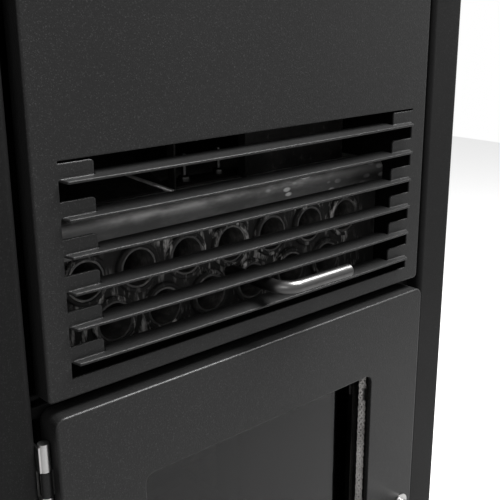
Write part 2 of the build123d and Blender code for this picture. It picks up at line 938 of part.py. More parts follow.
def make_burn_pot():
    """Cast pot with a rim, tapered walls and an air-hole pattern in its floor."""
    y = tube_plate_y + pot_setback
    z1 = pot_table() + pot_wall
    z0 = z1 - pot_height
    taper = pot_wall
    outer = loft([
        Pos(0, y, z0) * Rectangle(pot_width - 4 * taper, pot_depth - 4 * taper),
        Pos(0, y, z1) * Rectangle(pot_width - 2 * pot_rim, pot_depth - 2 * pot_rim),
    ])
    inner = loft([
        Pos(0, y, z0 + pot_wall) * Rectangle(pot_width - 6 * taper, pot_depth - 6 * taper),
        Pos(0, y, z1) * Rectangle(pot_width - 2 * pot_rim - 2 * taper, pot_depth - 2 * pot_rim - 2 * taper),
    ])
    half_x = pot_width / 2
    half_y = pot_depth / 2
    rim = span(-half_x, half_x, y - half_y, y + half_y, z1 - pot_wall, z1)
    pot = outer + rim - inner
    for column in range(5):
        for row in range(3):
            hole_x = (column - 2) * 15
            pot = pot - disc_z(hole_x, y + (row - 1) * 15, z0, z0 + pot_wall, pot_hole_radius)
    return pot


def make_pot_holder():
    """Table in the firebox with the cut-out that the burn pot hangs in."""
    y = tube_plate_y + pot_setback
    z1 = pot_table()
    half_x = pot_width / 2 + holder_margin
    front = y - pot_depth / 2 - holder_margin
    back = firebox_rear_y - plate - brick_thickness
    z0 = firebox_z0 + plate
    box = span(-half_x, half_x, front, back, z0, z1)
    wall = stand_plate
    box = box - span(-half_x + wall, half_x - wall, front + wall, back, z0, z1 - wall)
    cut_x = pot_width / 2 - pot_rim + lid_gap
    cut_y = pot_depth / 2 - pot_rim + lid_gap
    return box - span(-cut_x, cut_x, y - cut_y, y + cut_y, z1 - wall, z1)


def make_firebrick():
    """Cast liner on the back wall of the fire, with the ports that pass through it."""
    y1 = firebox_rear_y - plate
    y0 = y1 - brick_thickness
    half = brick_width / 2
    z0 = firebox_z0 + plate
    brick = span(-half, half, y0, y1, z0, z0 + brick_height)
    groove = brick_thickness / 5
    for row in range(1, 5):
        z = z0 + brick_height / 5 * row
        brick = brick - span(-half, half, y0, y0 + groove, z - groove / 2, z + groove / 2)
    brick = brick - disc_y(0, y0, y1, deck_z + intake_height, intake_radius - intake_wall)
    brick = brick - disc_y(0, y0, y1, firebox_z0 + igniter_height, igniter_radius + running_clearance)
    port_x1 = exhaust_port_left + exhaust_port_width
    return brick - span(
        exhaust_port_left, port_x1, y0, y1, deck_z + exhaust_duct_bottom,
        deck_z + exhaust_duct_bottom + exhaust_duct_height,
    )


def make_igniter():
    """Hot-rod igniter from behind the firebox to the back of the burn pot."""
    y1 = firebox_rear_y + igniter_length / 3
    y0 = y1 - igniter_length
    z = firebox_z0 + igniter_height
    rod = disc_y(0, y0, y1, z, igniter_radius - running_clearance)
    collar = disc_y(0, firebox_rear_y, firebox_rear_y + plate, z, 1.5 * igniter_radius)
    return rod + collar


def make_drop_chute():
    """Tongue inside the firebox that turns the pellets down into the pot."""
    y1 = firebox_rear_y - plate
    z1 = auger_frame().origin.Z - auger_tube_radius
    half = chute_width / 2
    floor_points = [(y1, z1), (y1, z1 - sheet), (y1 - chute_reach, z1 - chute_reach)]
    floor_points.append((y1 - chute_reach, z1 - chute_reach + sheet))
    floor = extrude(make_face(Polyline(*floor_points, floor_points[0])), amount=chute_width)
    pieces = [across(floor, -half)]
    for x in (-half, half - sheet):
        cheek = [(y1, z1 + chute_reach), (y1, z1 - sheet), (y1 - chute_reach, z1 - chute_reach)]
        pieces.append(across(extrude(make_face(Polyline(*cheek, cheek[0])), amount=sheet), x))
    return fused(pieces)


def rectangle_at(x, y0, y1, z):
    """Level rectangle, symmetric about the middle plane."""
    return Pos(0, (y0 + y1) / 2, z) * Rectangle(2 * x, y1 - y0)


def hopper_body(grow):
    """Hopper volume, grown outwards by a wall."""
    z3 = top_z0
    z2 = z3 - hopper_straight
    z1 = z3 - hopper_shoulder
    z0 = z3 - hopper_throat
    half = hopper_width / 2 + grow
    spout = spout_width / 2 + grow
    front = hopper_front - grow
    back = hopper_back + grow
    shoulder = firebox_rear_y + hopper_shoulder_depth - grow
    mouth = rectangle_at(half, front, back, z2)
    waist = rectangle_at(half, shoulder, back, z1)
    throat = rectangle_at(spout, spout_front - grow, spout_back + grow, z0)
    body = span(-half, half, front, back, z2, z3)
    body = body + loft([waist, mouth]) + loft([throat, waist])
    return body + span(-spout, spout, spout_front - grow, spout_back + grow, z0 - spout_length, z0)


def make_hopper():
    """Pellet bin that narrows to a spout seated on the auger tube."""
    hopper = hopper_body(sheet) - hopper_body(0)
    hopper = hopper - along_auger(0, auger_tube_length, auger_tube_radius + lid_gap)
    below = span(-half_width, half_width, 0, rear_y, 0, auger_frame().origin.Z - auger_tube_length * 0.6)
    return (hopper - below).solids().sort_by(SortBy.VOLUME)[-1]


def make_hopper_grate():
    """Safety grate laid across the hopper below its mouth."""
    z = top_z0 - grate_drop
    half = hopper_width / 2
    pieces = []
    for hand in (-1, 1):
        inner = (half - 2 * grate_bar) * hand
        pieces.append(span(inner, half * hand, hopper_front, hopper_back, z, z + grate_bar))
    for y in (hopper_front, hopper_back - 2 * grate_bar):
        pieces.append(span(-half, half, y, y + 2 * grate_bar, z, z + grate_bar))
    for index in range(1, grate_bars + 1):
        x0 = -half + hopper_width / (grate_bars + 1) * index - grate_bar / 2
        pieces.append(span(x0, x0 + grate_bar, hopper_front, hopper_back, z, z + grate_bar))
    return fused(pieces)


def make_auger_tube():
    """Feed tube from under the hopper up to the firebox wall, with its bearing plate."""
    top = -2 * auger_tube_radius
    length = auger_tube_length
    outer = along_auger(top, length, auger_tube_radius)
    tube = outer - along_auger(top, length - stand_plate, auger_tube_radius - auger_tube_wall)
    tube = tube - along_auger(length - stand_plate, length, auger_shaft_radius + running_clearance)
    tube = tube - span(-half_width, half_width, -half_width, firebox_rear_y, 0, top_z0)
    inlet = spout_width / 2
    return tube - span(-inlet, inlet, spout_front, spout_back, auger_z(spout_back), top_z0)


def auger_z(y):
    """Height of the auger's axis at a depth."""
    frame = auger_frame()
    return frame.origin.Z + (y - firebox_rear_y) / frame.z_dir.Y * frame.z_dir.Z


def make_auger_screw():
    """Shaft with a helical flight that lifts the pellets."""
    z0 = auger_top_gap
    z1 = auger_tube_length + gearbox_length / 2
    turns = auger_pitch * auger_turns
    shaft = Pos(0, 0, (z0 + z1) / 2) * Cylinder(auger_shaft_radius, z1 - z0)
    middle = (auger_flight_radius + auger_shaft_radius) / 2
    helix = Helix(pitch=auger_pitch, height=turns, radius=middle)
    depth = auger_flight_radius - auger_shaft_radius + 2
    profile = Plane(origin=helix @ 0, x_dir=(1, 0, 0), z_dir=helix % 0)
    flight = sweep(profile * Rectangle(depth, auger_flight_thickness), path=helix, is_frenet=True)
    return auger_frame() * (shaft + Pos(0, 0, z0 + auger_flight_thickness) * flight)


def make_auger_motor():
    """Gear motor on the low end of the feed tube."""
    start = auger_tube_length
    frame = auger_frame()
    box = frame * (Pos(0, 0, start + gearbox_length / 2) * Box(gearbox_side, gearbox_side, gearbox_length))
    bore = along_auger(start, start + gearbox_length / 2 + lid_gap, auger_shaft_radius + running_clearance)
    motor_start = start + gearbox_length
    return box - bore + along_auger(motor_start, motor_start + gear_motor_length, gear_motor_radius)


def make_air_plenum():
    """Box behind the tubes with the duct that brings air up from the blower."""
    half = plenum_width / 2
    y0 = firebox_rear_y
    y1 = y0 + plenum_depth
    z1 = firebox_z1 - plenum_top
    z0 = z1 - plenum_bottom
    duct_x0 = air_duct_left
    duct_x1 = duct_x0 + air_duct_width
    duct_z0 = deck_z + convection_axis_height + convection_radius
    box = span(-half, half, y0, y1, z0, z1)
    duct = span(duct_x0, duct_x1, y0, y1, duct_z0, z0)
    room = span(-half + sheet, half - sheet, y0, y1 - sheet, z0 + sheet, z1 - sheet)
    shaft = span(duct_x0 + sheet, duct_x1 - sheet, y0 + sheet, y1 - sheet, duct_z0, z0 + sheet)
    return box + duct - room - shaft


def make_convection_housing():
    """Scroll of the room-air blower, with its outlet up into the duct and a foot."""
    x0 = air_duct_left
    x1 = x0 + air_duct_width
    y0 = firebox_rear_y
    y = y0 + convection_radius
    z = deck_z + convection_axis_height
    z1 = z + convection_radius
    body = disc_x(x0, x1, y, z, convection_radius) + span(x0, x1, y0, y0 + plenum_depth, z, z1)
    wall = fan_wall
    room = disc_x(x0 + wall, x1 - wall, y, z, convection_radius - wall)
    throat = span(x0 + wall, x1 - wall, y0 + wall, y0 + plenum_depth - wall, z, z1)
    foot = span(x0 + 10, x1 - 10, y - 20, y + 20, deck_z, z - convection_radius + 6)
    body = body + foot - room - throat
    body = body - disc_x(x0, x0 + wall, y, z, convection_inlet_radius)
    return body - disc_x(x1 - wall, x1, y, z, fan_shaft_radius + running_clearance)


def fan_wheel(x0, x1, y, z, inner, outer, blades, back_x):
    """Wheel along X: a back disc on one side, and blades round it."""
    low = min(x0, x1)
    high = max(x0, x1)
    disc = disc_x(back_x, back_x + (sheet if back_x == low else -sheet), y, z, outer)
    pieces = [disc]
    for index in range(blades):
        blade = span(low, high, inner, outer, -fan_wall / 2, fan_wall / 2)
        pieces.append(Pos(0, y, z) * Rot(360 / blades * index, 0, 0) * blade)
    return fused(pieces)


def make_convection_wheel():
    """Squirrel-cage wheel with its shaft."""
    x0 = air_duct_left + 8
    x1 = x0 + convection_wheel_width
    y = firebox_rear_y + convection_radius
    z = deck_z + convection_axis_height
    radius = convection_wheel_radius
    inner = radius - convection_blade_depth
    wheel = fan_wheel(x0, x1, y, z, inner, radius, convection_blades, x1)
    rim = disc_x(x0, x0 + sheet, y, z, radius) - disc_x(x0, x0 + sheet, y, z, inner)
    motor_x = air_duct_left + air_duct_width + convection_motor_length / 2
    hub = disc_x(x1 - convection_hub_length, x1, y, z, fan_hub_radius)
    return wheel + rim + hub + disc_x(x1, motor_x, y, z, fan_shaft_radius)


def fan_motor(face_x, end_x, y, z, radius):
    """Motor with a blind shaft bore in its face and a smaller end bell."""
    direction = 1 if end_x > face_x else -1
    length = abs(end_x - face_x)
    body = disc_x(face_x, face_x + direction * length * 0.75, y, z, radius)
    bell = disc_x(face_x, end_x, y, z, radius * 0.75)
    bore_end = face_x + direction * (length / 2 + lid_gap)
    return body + bell - disc_x(face_x, bore_end, y, z, fan_shaft_radius + running_clearance)


def make_convection_motor():
    """Motor of the room-air blower."""
    face_x = air_duct_left + air_duct_width
    y = firebox_rear_y + convection_radius
    z = deck_z + convection_axis_height
    return fan_motor(face_x, face_x + convection_motor_length, y, z, convection_motor_radius)


def make_exhaust_duct():
    """Box that takes the flue gas from the firebox to the exhaust blower."""
    x0 = exhaust_port_left
    x1 = x0 + exhaust_port_width
    y0 = firebox_rear_y
    y1 = y0 + exhaust_duct_length
    z0 = deck_z + exhaust_duct_bottom
    z1 = z0 + exhaust_duct_height
    duct = span(x0, x1, y0, y1, z0, z1)
    duct = duct - span(x0 + sheet, x1 - sheet, y0, y1 - sheet, z0 + sheet, z1 - sheet)
    y = firebox_rear_y + exhaust_axis_depth - exhaust_inlet_radius / 2
    return duct - disc_x(x0, x0 + sheet, y, deck_z + exhaust_axis_height + 25, exhaust_inlet_radius)


def make_exhaust_housing():
    """Scroll of the exhaust blower, with a square outlet to the back and a foot."""
    x1 = exhaust_port_left
    x0 = x1 - exhaust_width
    y = firebox_rear_y + exhaust_axis_depth
    z = deck_z + exhaust_axis_height
    bottom = z - exhaust_radius
    y1 = exhaust_outlet_end
    wall = fan_wall
    body = disc_x(x0, x1, y, z, exhaust_radius)
    body = body + span(x0, x1, y, y1, bottom, bottom + exhaust_outlet_height)
    body = body + span(x0 + 8, x1 - 8, y - 20, y + 20, deck_z, bottom + 6)
    body = body - disc_x(x0 + wall, x1 - wall, y, z, exhaust_radius - wall)
    throat = bottom + exhaust_outlet_height - wall
    body = body - span(x0 + wall, x1 - wall, y, y1, bottom + wall, throat)
    inlet_y = y - exhaust_inlet_radius / 2
    body = body - disc_x(x1 - wall, x1, inlet_y, z + 25, exhaust_inlet_radius)
    return body - disc_x(x0, x0 + wall, y, z, fan_shaft_radius + running_clearance)


def make_exhaust_impeller():
    """Paddle wheel with its shaft."""
    x0 = exhaust_port_left - exhaust_width + 6
    x1 = x0 + exhaust_wheel_width
    y = firebox_rear_y + exhaust_axis_depth
    z = deck_z + exhaust_axis_height
    wheel = fan_wheel(x0, x1, y, z, fan_shaft_radius, exhaust_wheel_radius, exhaust_blades, x0)
    hub = disc_x(x0, x1, y, z, fan_hub_radius)
    motor_x = exhaust_port_left - exhaust_width - exhaust_motor_length / 2
    return wheel + hub + disc_x(motor_x, x0, y, z, fan_shaft_radius)


def make_exhaust_motor():
    """Motor of the exhaust blower."""
    face_x = exhaust_port_left - exhaust_width
    y = firebox_rear_y + exhaust_axis_depth
    z = deck_z + exhaust_axis_height
    return fan_motor(face_x, face_x - exhaust_motor_length, y, z, exhaust_motor_radius)


def flue_place():
    """Flue axis as (x, z)."""
    x = exhaust_port_left - exhaust_width / 2
    z = deck_z + exhaust_axis_height - exhaust_radius + exhaust_outlet_height / 2
    return x, z


def make_flue_stub():
    """Flanged outlet pipe that the flue slides on to."""
    x, z = flue_place()
    y0 = exhaust_outlet_end
    y1 = rear_y + flue_stub
    pipe = disc_y(x, y0, y1, z, flue_radius)
    half = flue_radius + flue_flange_margin
    flange = span(x - half, x + half, y0, y0 + flue_flange, z - half, z + half)
    return pipe + flange - disc_y(x, y0, y1, z, flue_radius - flue_wall)


def make_intake_pipe():
    """Combustion air pipe from behind the stove to the firebox."""
    z = deck_z + intake_height
    y0 = firebox_rear_y
    y1 = rear_y + intake_stub
    return disc_y(0, y0, y1, z, intake_radius) - disc_y(0, y0, y1, z, intake_radius - intake_wall)


def make_rear_panel():
    """Back sheet with the pipe holes, the cable inlet hole and the vent slots."""
    half = half_width - column_bend - rear_panel_play
    y1 = rear_y - sheet
    y0 = y1 - sheet
    panel = span(-half, half, y0, y1, deck_z, top_z0)
    x, z = flue_place()
    panel = panel - disc_y(x, y0, y1, z, flue_radius + rear_hole_clearance)
    panel = panel - disc_y(0, y0, y1, deck_z + intake_height, intake_radius + rear_hole_clearance)
    z = deck_z + inlet_height
    inlet_hole = span(-inlet_width / 2, inlet_width / 2, y0, y1, z - inlet_tall / 2, z + inlet_tall / 2)
    panel = panel - Pos(inlet_x, 0, 0) * inlet_hole
    for side_x in (half_width / 2, -half_width / 2):
        for index in range(vent_count):
            z = top_z0 - vent_bottom - vent_pitch * index
            panel = panel - span(side_x - vent_width / 2, side_x + vent_width / 2, y0, y1, z - vent_slot, z)
    side_x = half_width / 2
    for index in range(vent_count):
        z = deck_z + vent_bottom + vent_pitch * index
        panel = panel - span(side_x - vent_width / 2, side_x + vent_width / 2, y0, y1, z, z + vent_slot)
    return panel


def make_power_inlet():
    """Cable inlet socket in the rear panel."""
    z = deck_z + inlet_height
    y1 = rear_y - sheet
    half_x = inlet_width / 2
    half_z = inlet_tall / 2
    rim = inlet_rim
    body = span(-half_x, half_x, y1 - inlet_depth, y1, z - half_z, z + half_z)
    body = body + span(-half_x - rim, half_x + rim, y1, y1 + sheet, z - half_z - rim, z + half_z + rim)
    wall = inlet_wall
    socket_y = y1 - inlet_socket
    hole_x = half_x - wall
    hole_z = half_z - wall
    body = body - span(-hole_x, hole_x, socket_y, y1 + sheet, z - hole_z, z + hole_z)
    for x in (-inlet_pin_pitch, 0, inlet_pin_pitch):
        body = body + span(x - 1, x + 1, socket_y - 1, y1 - wall, z - 2, z + 2)
    return Pos(inlet_x, 0, 0) * body


def make_rear_screws():
    """Pan-head screws that hold the rear panel to the side flanges."""
    screws = []
    x = half_width - plinth_inset / 2
    for hand in (-1, 1):
        for index in range(5):
            z = deck_z + 40 + (top_z0 - deck_z - 80) / 4 * index
            head = disc_y(x * hand, rear_y, rear_y + screw_head, z, screw_radius)
            head = fillet(head.edges().group_by(Axis.Y)[-1], screw_head / 2)
            screws.append(head)
    return Compound(children=screws)


def make_top_plate():
    """Folded top with the hopper mouth, its collar and the lid's hinge lugs."""
    half = half_width + top_overhang
    y0 = panel_y - top_front_overhang
    y1 = rear_y
    top = span(-half, half, y0, y1, top_z0, top_z1)
    top = fillet(top.edges().filter_by(Axis.Z), column_bend)
    top = fillet(top.faces().sort_by(Axis.Z)[-1].edges(), sheet)
    skin_z = top_z1 - top_skin
    under = span(-half + top_skirt, half - top_skirt, y0 + top_skirt, y1 - top_skirt, top_z0, skin_z)
    mouth_x = hopper_width / 2
    rim_x = mouth_x + sheet
    collar = span(-rim_x, rim_x, hopper_front - sheet, hopper_back + sheet, top_z0, skin_z)
    top = top - under + collar
    top = top - span(-mouth_x, mouth_x, hopper_front, hopper_back, top_z0, top_z1)
    y, z = lid_axis()
    radius = lid_knuckle_radius
    for x in lid_knuckle_places():
        for x0 in (x - lid_lug_width(), x + lid_knuckle_length):
            x1 = x0 + lid_lug_width()
            lug = disc_x(x0, x1, y, z, radius)
            top = top + lug + span(x0, x1, y - radius, y + radius, top_z1 - sheet, z)
    return top - lid_bore()


def lid_lug_width():
    """Width of one hinge lug on the top plate."""
    return lid_knuckle_length / 3


def lid_knuckle_places():
    """Left ends of the lid's own knuckles."""
    return (-lid_knuckle_spread - lid_knuckle_length / 2, lid_knuckle_spread - lid_knuckle_length / 2)


def lid_axis():
    """Lid hinge axis as (y, z)."""
    return hopper_back + lid_margin + lid_axis_back, top_z1 + lid_axis_rise


def lid_bore():
    """Clearance bore through the lid's knuckles and lugs."""
    y, z = lid_axis()
    reach = lid_knuckle_spread + 2 * lid_knuckle_length
    return disc_x(-reach, reach, y, z, lid_pin_radius + hinge_clearance)


def make_lid_pins():
    """Hinge pins of the lid."""
    y, z = lid_axis()
    pins = []
    for x in lid_knuckle_places():
        x1 = x + lid_knuckle_length + lid_lug_width()
        pins.append(disc_x(x - lid_lug_width(), x1, y, z, lid_pin_radius))
    return Compound(children=pins)


def make_hopper_lid():
    """Folded lid over the hopper mouth, with knuckles on its back edge."""
    half = hopper_width / 2 + lid_margin
    y0 = hopper_front - lid_margin
    y1 = hopper_back + lid_margin
    z0 = top_z1 + lid_gap
    z1 = z0 + lid_height
    lid = span(-half, half, y0, y1, z0, z1)
    lid = fillet(lid.edges().filter_by(Axis.Z), column_bend)
    lid = fillet(lid.faces().sort_by(Axis.Z)[-1].edges(), lid_skin)
    skin = lid_skin
    lid = lid - span(-half + skin, half - skin, y0 + skin, y1 - skin, z0, z1 - skin)
    y, z = lid_axis()
    play = hinge_play
    for x in lid_knuckle_places():
        x0 = x + play
        x1 = x + lid_knuckle_length - play
        lid = lid + disc_x(x0, x1, y, z, lid_knuckle_radius)
        lid = lid + span(x0, x1, y1 - skin, y, z - sheet, z + lid_knuckle_radius)
    return lid - lid_bore()


def make_lid_handle():
    """Bow handle near the front of the lid."""
    y = hopper_front + 2 * lid_margin
    z = top_z1 + lid_gap + lid_height
    return handle_bar(lid_handle_span, y, z, lid_handle_rise, lid_handle_radius, False)


def control_corner():
    """Left front corner of the control unit."""
    x0 = half_width - control_right_inset - control_width
    return x0, panel_y + control_front_inset


def control_places():
    """Centres of the button and the knob, and of the display, as (x, y)."""
    x0, y0 = control_corner()
    middle = y0 + control_depth / 2
    return (x0 + button_place, middle), (x0 + knob_place, middle), (x0 + display_place, middle)


def make_control_panel():
    """Moulded control housing with a recessed display."""
    x0, y0 = control_corner()
    z0 = top_z1
    z1 = z0 + control_height
    wall = control_wall
    box = span(x0, x0 + control_width, y0, y0 + control_depth, z0, z1)
    box = fillet(box.edges().filter_by(Axis.Z), 3 * wall)
    box = fillet(box.faces().sort_by(Axis.Z)[-1].edges(), wall / 2)
    inner = (x0 + wall, x0 + control_width - wall, y0 + wall, y0 + control_depth - wall)
    box = box - span(*inner, z0, z1 - wall)
    button, knob, display = control_places()
    box = box - disc_z(*button, z1 - wall, z1, button_radius + button_clearance)
    box = box - disc_z(*knob, z1 - wall, z1, knob_shaft_radius + running_clearance)
    dx = display_width / 2
    dy = display_depth / 2
    x, y = display
    return box - span(x - dx, x + dx, y - dy, y + dy, z1 - display_recess, z1)


def make_power_button():
    """Round push button with a flange under the housing's skin."""
    place = control_places()[0]
    z1 = top_z1 + control_height
    cap = disc_z(*place, z1 - control_wall - button_flange - lid_gap, z1 + button_proud, button_radius)
    cap = fillet(cap.edges().group_by(Axis.Z)[-1], button_proud / 3)
    flange_z1 = z1 - control_wall - lid_gap
    return cap + disc_z(*place, flange_z1 - button_flange, flange_z1, button_radius + control_wall)


def make_feed_knob():
    """Feed-rate knob with a fluted rim and a pointer flat."""
    place = control_places()[1]
    z0 = top_z1 + control_height + lid_gap
    z1 = z0 + knob_height
    knob = disc_z(*place, z0, z1, knob_radius)
    knob = fillet(knob.edges().group_by(Axis.Z)[-1], knob_radius / 8)
    for index in range(12):
        angle = radians(30 * index + 15)
        x = place[0] + knob_radius * cos(angle)
        y = place[1] + knob_radius * sin(angle)
        knob = knob - disc_z(x, y, z0 + knob_height / 4, z1, knob_radius / 10)
    knob = knob - span(place[0] - 0.8, place[0] + 0.8, place[1] + 4, place[1] + knob_radius, z1 - 0.8, z1)
    return knob + disc_z(*place, z0 - control_height / 2, z0, knob_shaft_radius)


os.makedirs("parts", exist_ok=True)
save("plinth", make_plinth())
save("side_panel_left", make_side_panel(-1))
save("side_panel_right", make_side_panel(1))
save("rear_panel", make_rear_panel())
save("rear_screws", make_rear_screws())
save("top_plate", make_top_plate())
save("upper_front_panel", make_front_panel())
save("cross_rail", make_cross_rail())
save("firebox_face", make_firebox_face())
save("firebox_shell", make_firebox_shell())
save("firebox_stand", make_firebox_stand())
save("exchanger_tubes", make_exchanger_tubes())
save("exchanger_cover", make_exchanger_cover())
save("outlet_duct", make_outlet_duct())
save("baffle_bracket", make_baffle_bracket())
save("baffle_bolts", make_baffle_bolts())
save("cleaning_rod", make_cleaning_rod())
save("scraper_plate", make_scraper_plate())
save("firebrick", make_firebrick())
save("burn_pot", make_burn_pot())
save("pot_holder", make_pot_holder())
save("igniter", make_igniter())
save("drop_chute", make_drop_chute())
save("hopper", make_hopper())
save("hopper_grate", make_hopper_grate())
save("auger_tube", make_auger_tube())
save("auger_screw", make_auger_screw())
save("auger_motor", make_auger_motor())
save("air_plenum", make_air_plenum())
save("convection_housing", make_convection_housing())
save("convection_wheel", make_convection_wheel())
save("convection_motor", make_convection_motor())
save("exhaust_duct", make_exhaust_duct())
save("exhaust_housing", make_exhaust_housing())
save("exhaust_impeller", make_exhaust_impeller())
save("exhaust_motor", make_exhaust_motor())
save("flue_stub", make_flue_stub())
save("intake_pipe", make_intake_pipe())
save("power_inlet", make_power_inlet())
save("door_frame", make_door_frame())
save("door_liner", make_door_liner())
save("door_glass", make_door_glass())
save("glass_gasket", make_glass_gasket())
save("glass_clips", make_glass_clips())
save("door_gasket", make_door_gasket())
save("door_hinge_brackets", make_hinge_brackets())
save("door_hinge_pins", make_hinge_pins())
save("door_keeper", make_door_keeper())
save("latch_shaft", make_latch_shaft())
save("latch_grip", make_latch_grip())
save("latch_cam", make_latch_cam())
save("hopper_lid", make_hopper_lid())
save("lid_pins", make_lid_pins())
save("lid_handle", make_lid_handle())
save("ash_drawer", make_ash_drawer())
save("drawer_front", make_drawer_front())
save("drawer_pull", make_drawer_pull())
save("control_panel", make_control_panel())
save("power_button", make_power_button())
save("feed_knob", make_feed_knob())
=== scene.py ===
# %% [markdown]
# # Dressing a pellet stove
# The stove's steel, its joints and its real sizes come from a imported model. This lesson gives every
# piece its finish, adds what a workshop adds last (weld beads, rope seals, screws, the display and
# its scale), and sets up a plain studio around it. Lengths are in metres, +Z is up, and the front
# of the stove faces -Y.

# %% Load the stove
import json
import math

import bmesh
import bpy
from mathutils import Matrix, Vector


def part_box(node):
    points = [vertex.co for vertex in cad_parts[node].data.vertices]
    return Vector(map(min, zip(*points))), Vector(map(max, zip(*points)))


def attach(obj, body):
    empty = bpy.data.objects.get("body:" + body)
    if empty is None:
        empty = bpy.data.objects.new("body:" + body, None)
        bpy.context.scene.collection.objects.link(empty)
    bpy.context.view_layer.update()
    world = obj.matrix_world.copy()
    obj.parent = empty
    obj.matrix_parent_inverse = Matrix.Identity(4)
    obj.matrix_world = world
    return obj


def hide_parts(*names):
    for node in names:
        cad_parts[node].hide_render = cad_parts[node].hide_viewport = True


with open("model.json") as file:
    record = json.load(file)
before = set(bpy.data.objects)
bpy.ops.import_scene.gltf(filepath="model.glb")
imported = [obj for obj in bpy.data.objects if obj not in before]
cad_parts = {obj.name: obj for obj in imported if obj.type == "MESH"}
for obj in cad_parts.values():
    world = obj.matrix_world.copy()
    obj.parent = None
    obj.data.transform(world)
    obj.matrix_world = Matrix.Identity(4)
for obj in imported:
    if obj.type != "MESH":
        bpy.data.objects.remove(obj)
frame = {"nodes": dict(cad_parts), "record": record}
nodes = frame["nodes"]
slot_of = {part["node"]: part["material_slot"] for part in frame["record"]["subparts"]}
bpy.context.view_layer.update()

# %% [markdown]
# ## Shader maths
# A finish is mostly arithmetic on patterns: a stain is noise times a height, a brushed bar is noise
# stretched along it. One way is to wire Math nodes by hand, which is long to read. Here one class
# wraps a socket, so that `mask * 0.5 + 0.2` adds the nodes, and one method adds any other node.


# %% Sockets that can be added and multiplied
class Value:
    """A node's output. Arithmetic on it adds Math nodes to the same finish."""

    def __init__(self, finish, socket):
        self.finish = finish
        self.socket = socket

    def maths(self, operation, first, second):
        return self.finish.add("ShaderNodeMath", {"operation": operation}, {0: first, 1: second})

    def __add__(self, other):
        return self.maths("ADD", self, other)

    def __mul__(self, other):
        return self.maths("MULTIPLY", self, other)

    def __sub__(self, other):
        return self.maths("SUBTRACT", self, other)

    def __rsub__(self, other):
        return self.maths("SUBTRACT", other, self)

    __radd__ = __add__
    __rmul__ = __mul__


class Finish:
    """One material and the nodes that feed its Principled shader."""

    def __init__(self, name, **constants):
        self.material = bpy.data.materials.new(name)
        self.material.use_nodes = True
        self.tree = self.material.node_tree
        self.shader = self.tree.nodes["Principled BSDF"]
        self.point = self.add("ShaderNodeTexCoord", {}, {}, "Object")
        self.paint(**constants)

    def add(self, kind, settings, inputs, output=0):
        node = self.tree.nodes.new(kind)
        for name, value in settings.items():
            setattr(node, name, value)
        for key, value in inputs.items():
            if isinstance(value, Value):
                self.tree.links.new(value.socket, node.inputs[key])
            else:
                node.inputs[key].default_value = value
        return Value(self, node.outputs[output])

    def paint(self, **inputs):
        """Feed the shader: base_color=... becomes its Base Color socket."""
        for name, value in inputs.items():
            socket = self.shader.inputs[name.replace("_", " ").title().replace("Ior", "IOR")]
            if isinstance(value, Value):
                self.tree.links.new(value.socket, socket)
            else:
                socket.default_value = value

    def stretched(self, x, y, z, turn=(0, 0, 0)):
        inputs = {"Vector": self.point, "Scale": (x, y, z), "Rotation": turn}
        return self.add("ShaderNodeMapping", {}, inputs)

    def noise(self, scale, detail=2.0, rough=0.5, point=None):
        inputs = {"Vector": point or self.point, "Scale": scale, "Detail": detail, "Roughness": rough}
        return self.add("ShaderNodeTexNoise", {}, inputs)

    def cells(self, scale, feature="F1", point=None, spread=1.0):
        inputs = {"Vector": point or self.point, "Scale": scale, "Randomness": spread}
        return self.add("ShaderNodeTexVoronoi", {"feature": feature}, inputs)

    def ease(self, value, low, high):
        """0 below low, 1 above high, smooth between."""
        inputs = {"Value": value, "From Min": low, "From Max": high}
        return self.add("ShaderNodeMapRange", {"interpolation_type": "SMOOTHSTEP"}, inputs)

    def tint(self, share, low, high):
        """Colour from low to high by share."""
        return self.add("ShaderNodeMix", {"data_type": "RGBA"}, {0: share, 6: low, 7: high}, 2)

    def axis(self, name):
        return self.add("ShaderNodeSeparateXYZ", {}, {"Vector": self.point}, name)

    def bumped(self, height, depth, normal=None, strength=1.0):
        inputs = {"Height": height, "Distance": depth, "Strength": strength}
        if normal:
            inputs["Normal"] = normal
        return self.add("ShaderNodeBump", {}, inputs)

    def soft_edges(self, radius):
        """Normal that turns over a sheet's edge as if it had a small radius."""
        return self.add("ShaderNodeBevel", {"samples": 6}, {"Radius": radius})


def grey(level, warm=0.0):
    """A grey, a little warm where warm is above 0."""
    return (level * (1 + warm), level, level * (1 - warm), 1.0)


print("shader helpers ready")

# %% [markdown]
# ## Powder coat
# The cabinet, the louvres and the door have a satin black powder coat with a fine orange-peel grain,
# and the two columns beside them a flatter one. The coat is a dielectric: nearly black below, with a
# weak wide gloss that shows the studio. The grain is a bump pattern about a millimetre across. A Bevel node
# gives each cut edge a small radius, which is what catches the light along the louvres.


# %% Powder coats
def powder_coat(name, level, rough, gloss, grain):
    coat = Finish(name, specular_ior_level=gloss)
    cloud = coat.noise(7, 3)
    peel = coat.noise(620, 2, 0.6)
    fine = coat.noise(1900, 1)
    speck = coat.ease(coat.noise(1250, 0), 0.66, 0.78)
    dust = coat.ease(coat.noise(160, 3, 0.7), 0.62, 0.8)
    colour = coat.tint(speck * 0.55 + dust * 0.12, grey(level), grey(level * 4.2))
    relief = peel * 0.7 + fine * 0.3
    normal = coat.bumped(relief, grain, coat.soft_edges(0.0018))
    coat.paint(base_color=colour, roughness=cloud * 0.14 + peel * 0.1 + (rough - 0.12), normal=normal)
    return coat.material


cabinet_coat = powder_coat("satin_black_powder_coat", 0.009, 0.36, 0.17, 0.00026)
column_coat = powder_coat("flat_black_powder_coat", 0.005, 0.5, 0.08, 0.00008)
print("coats", cabinet_coat.name, column_coat.name)

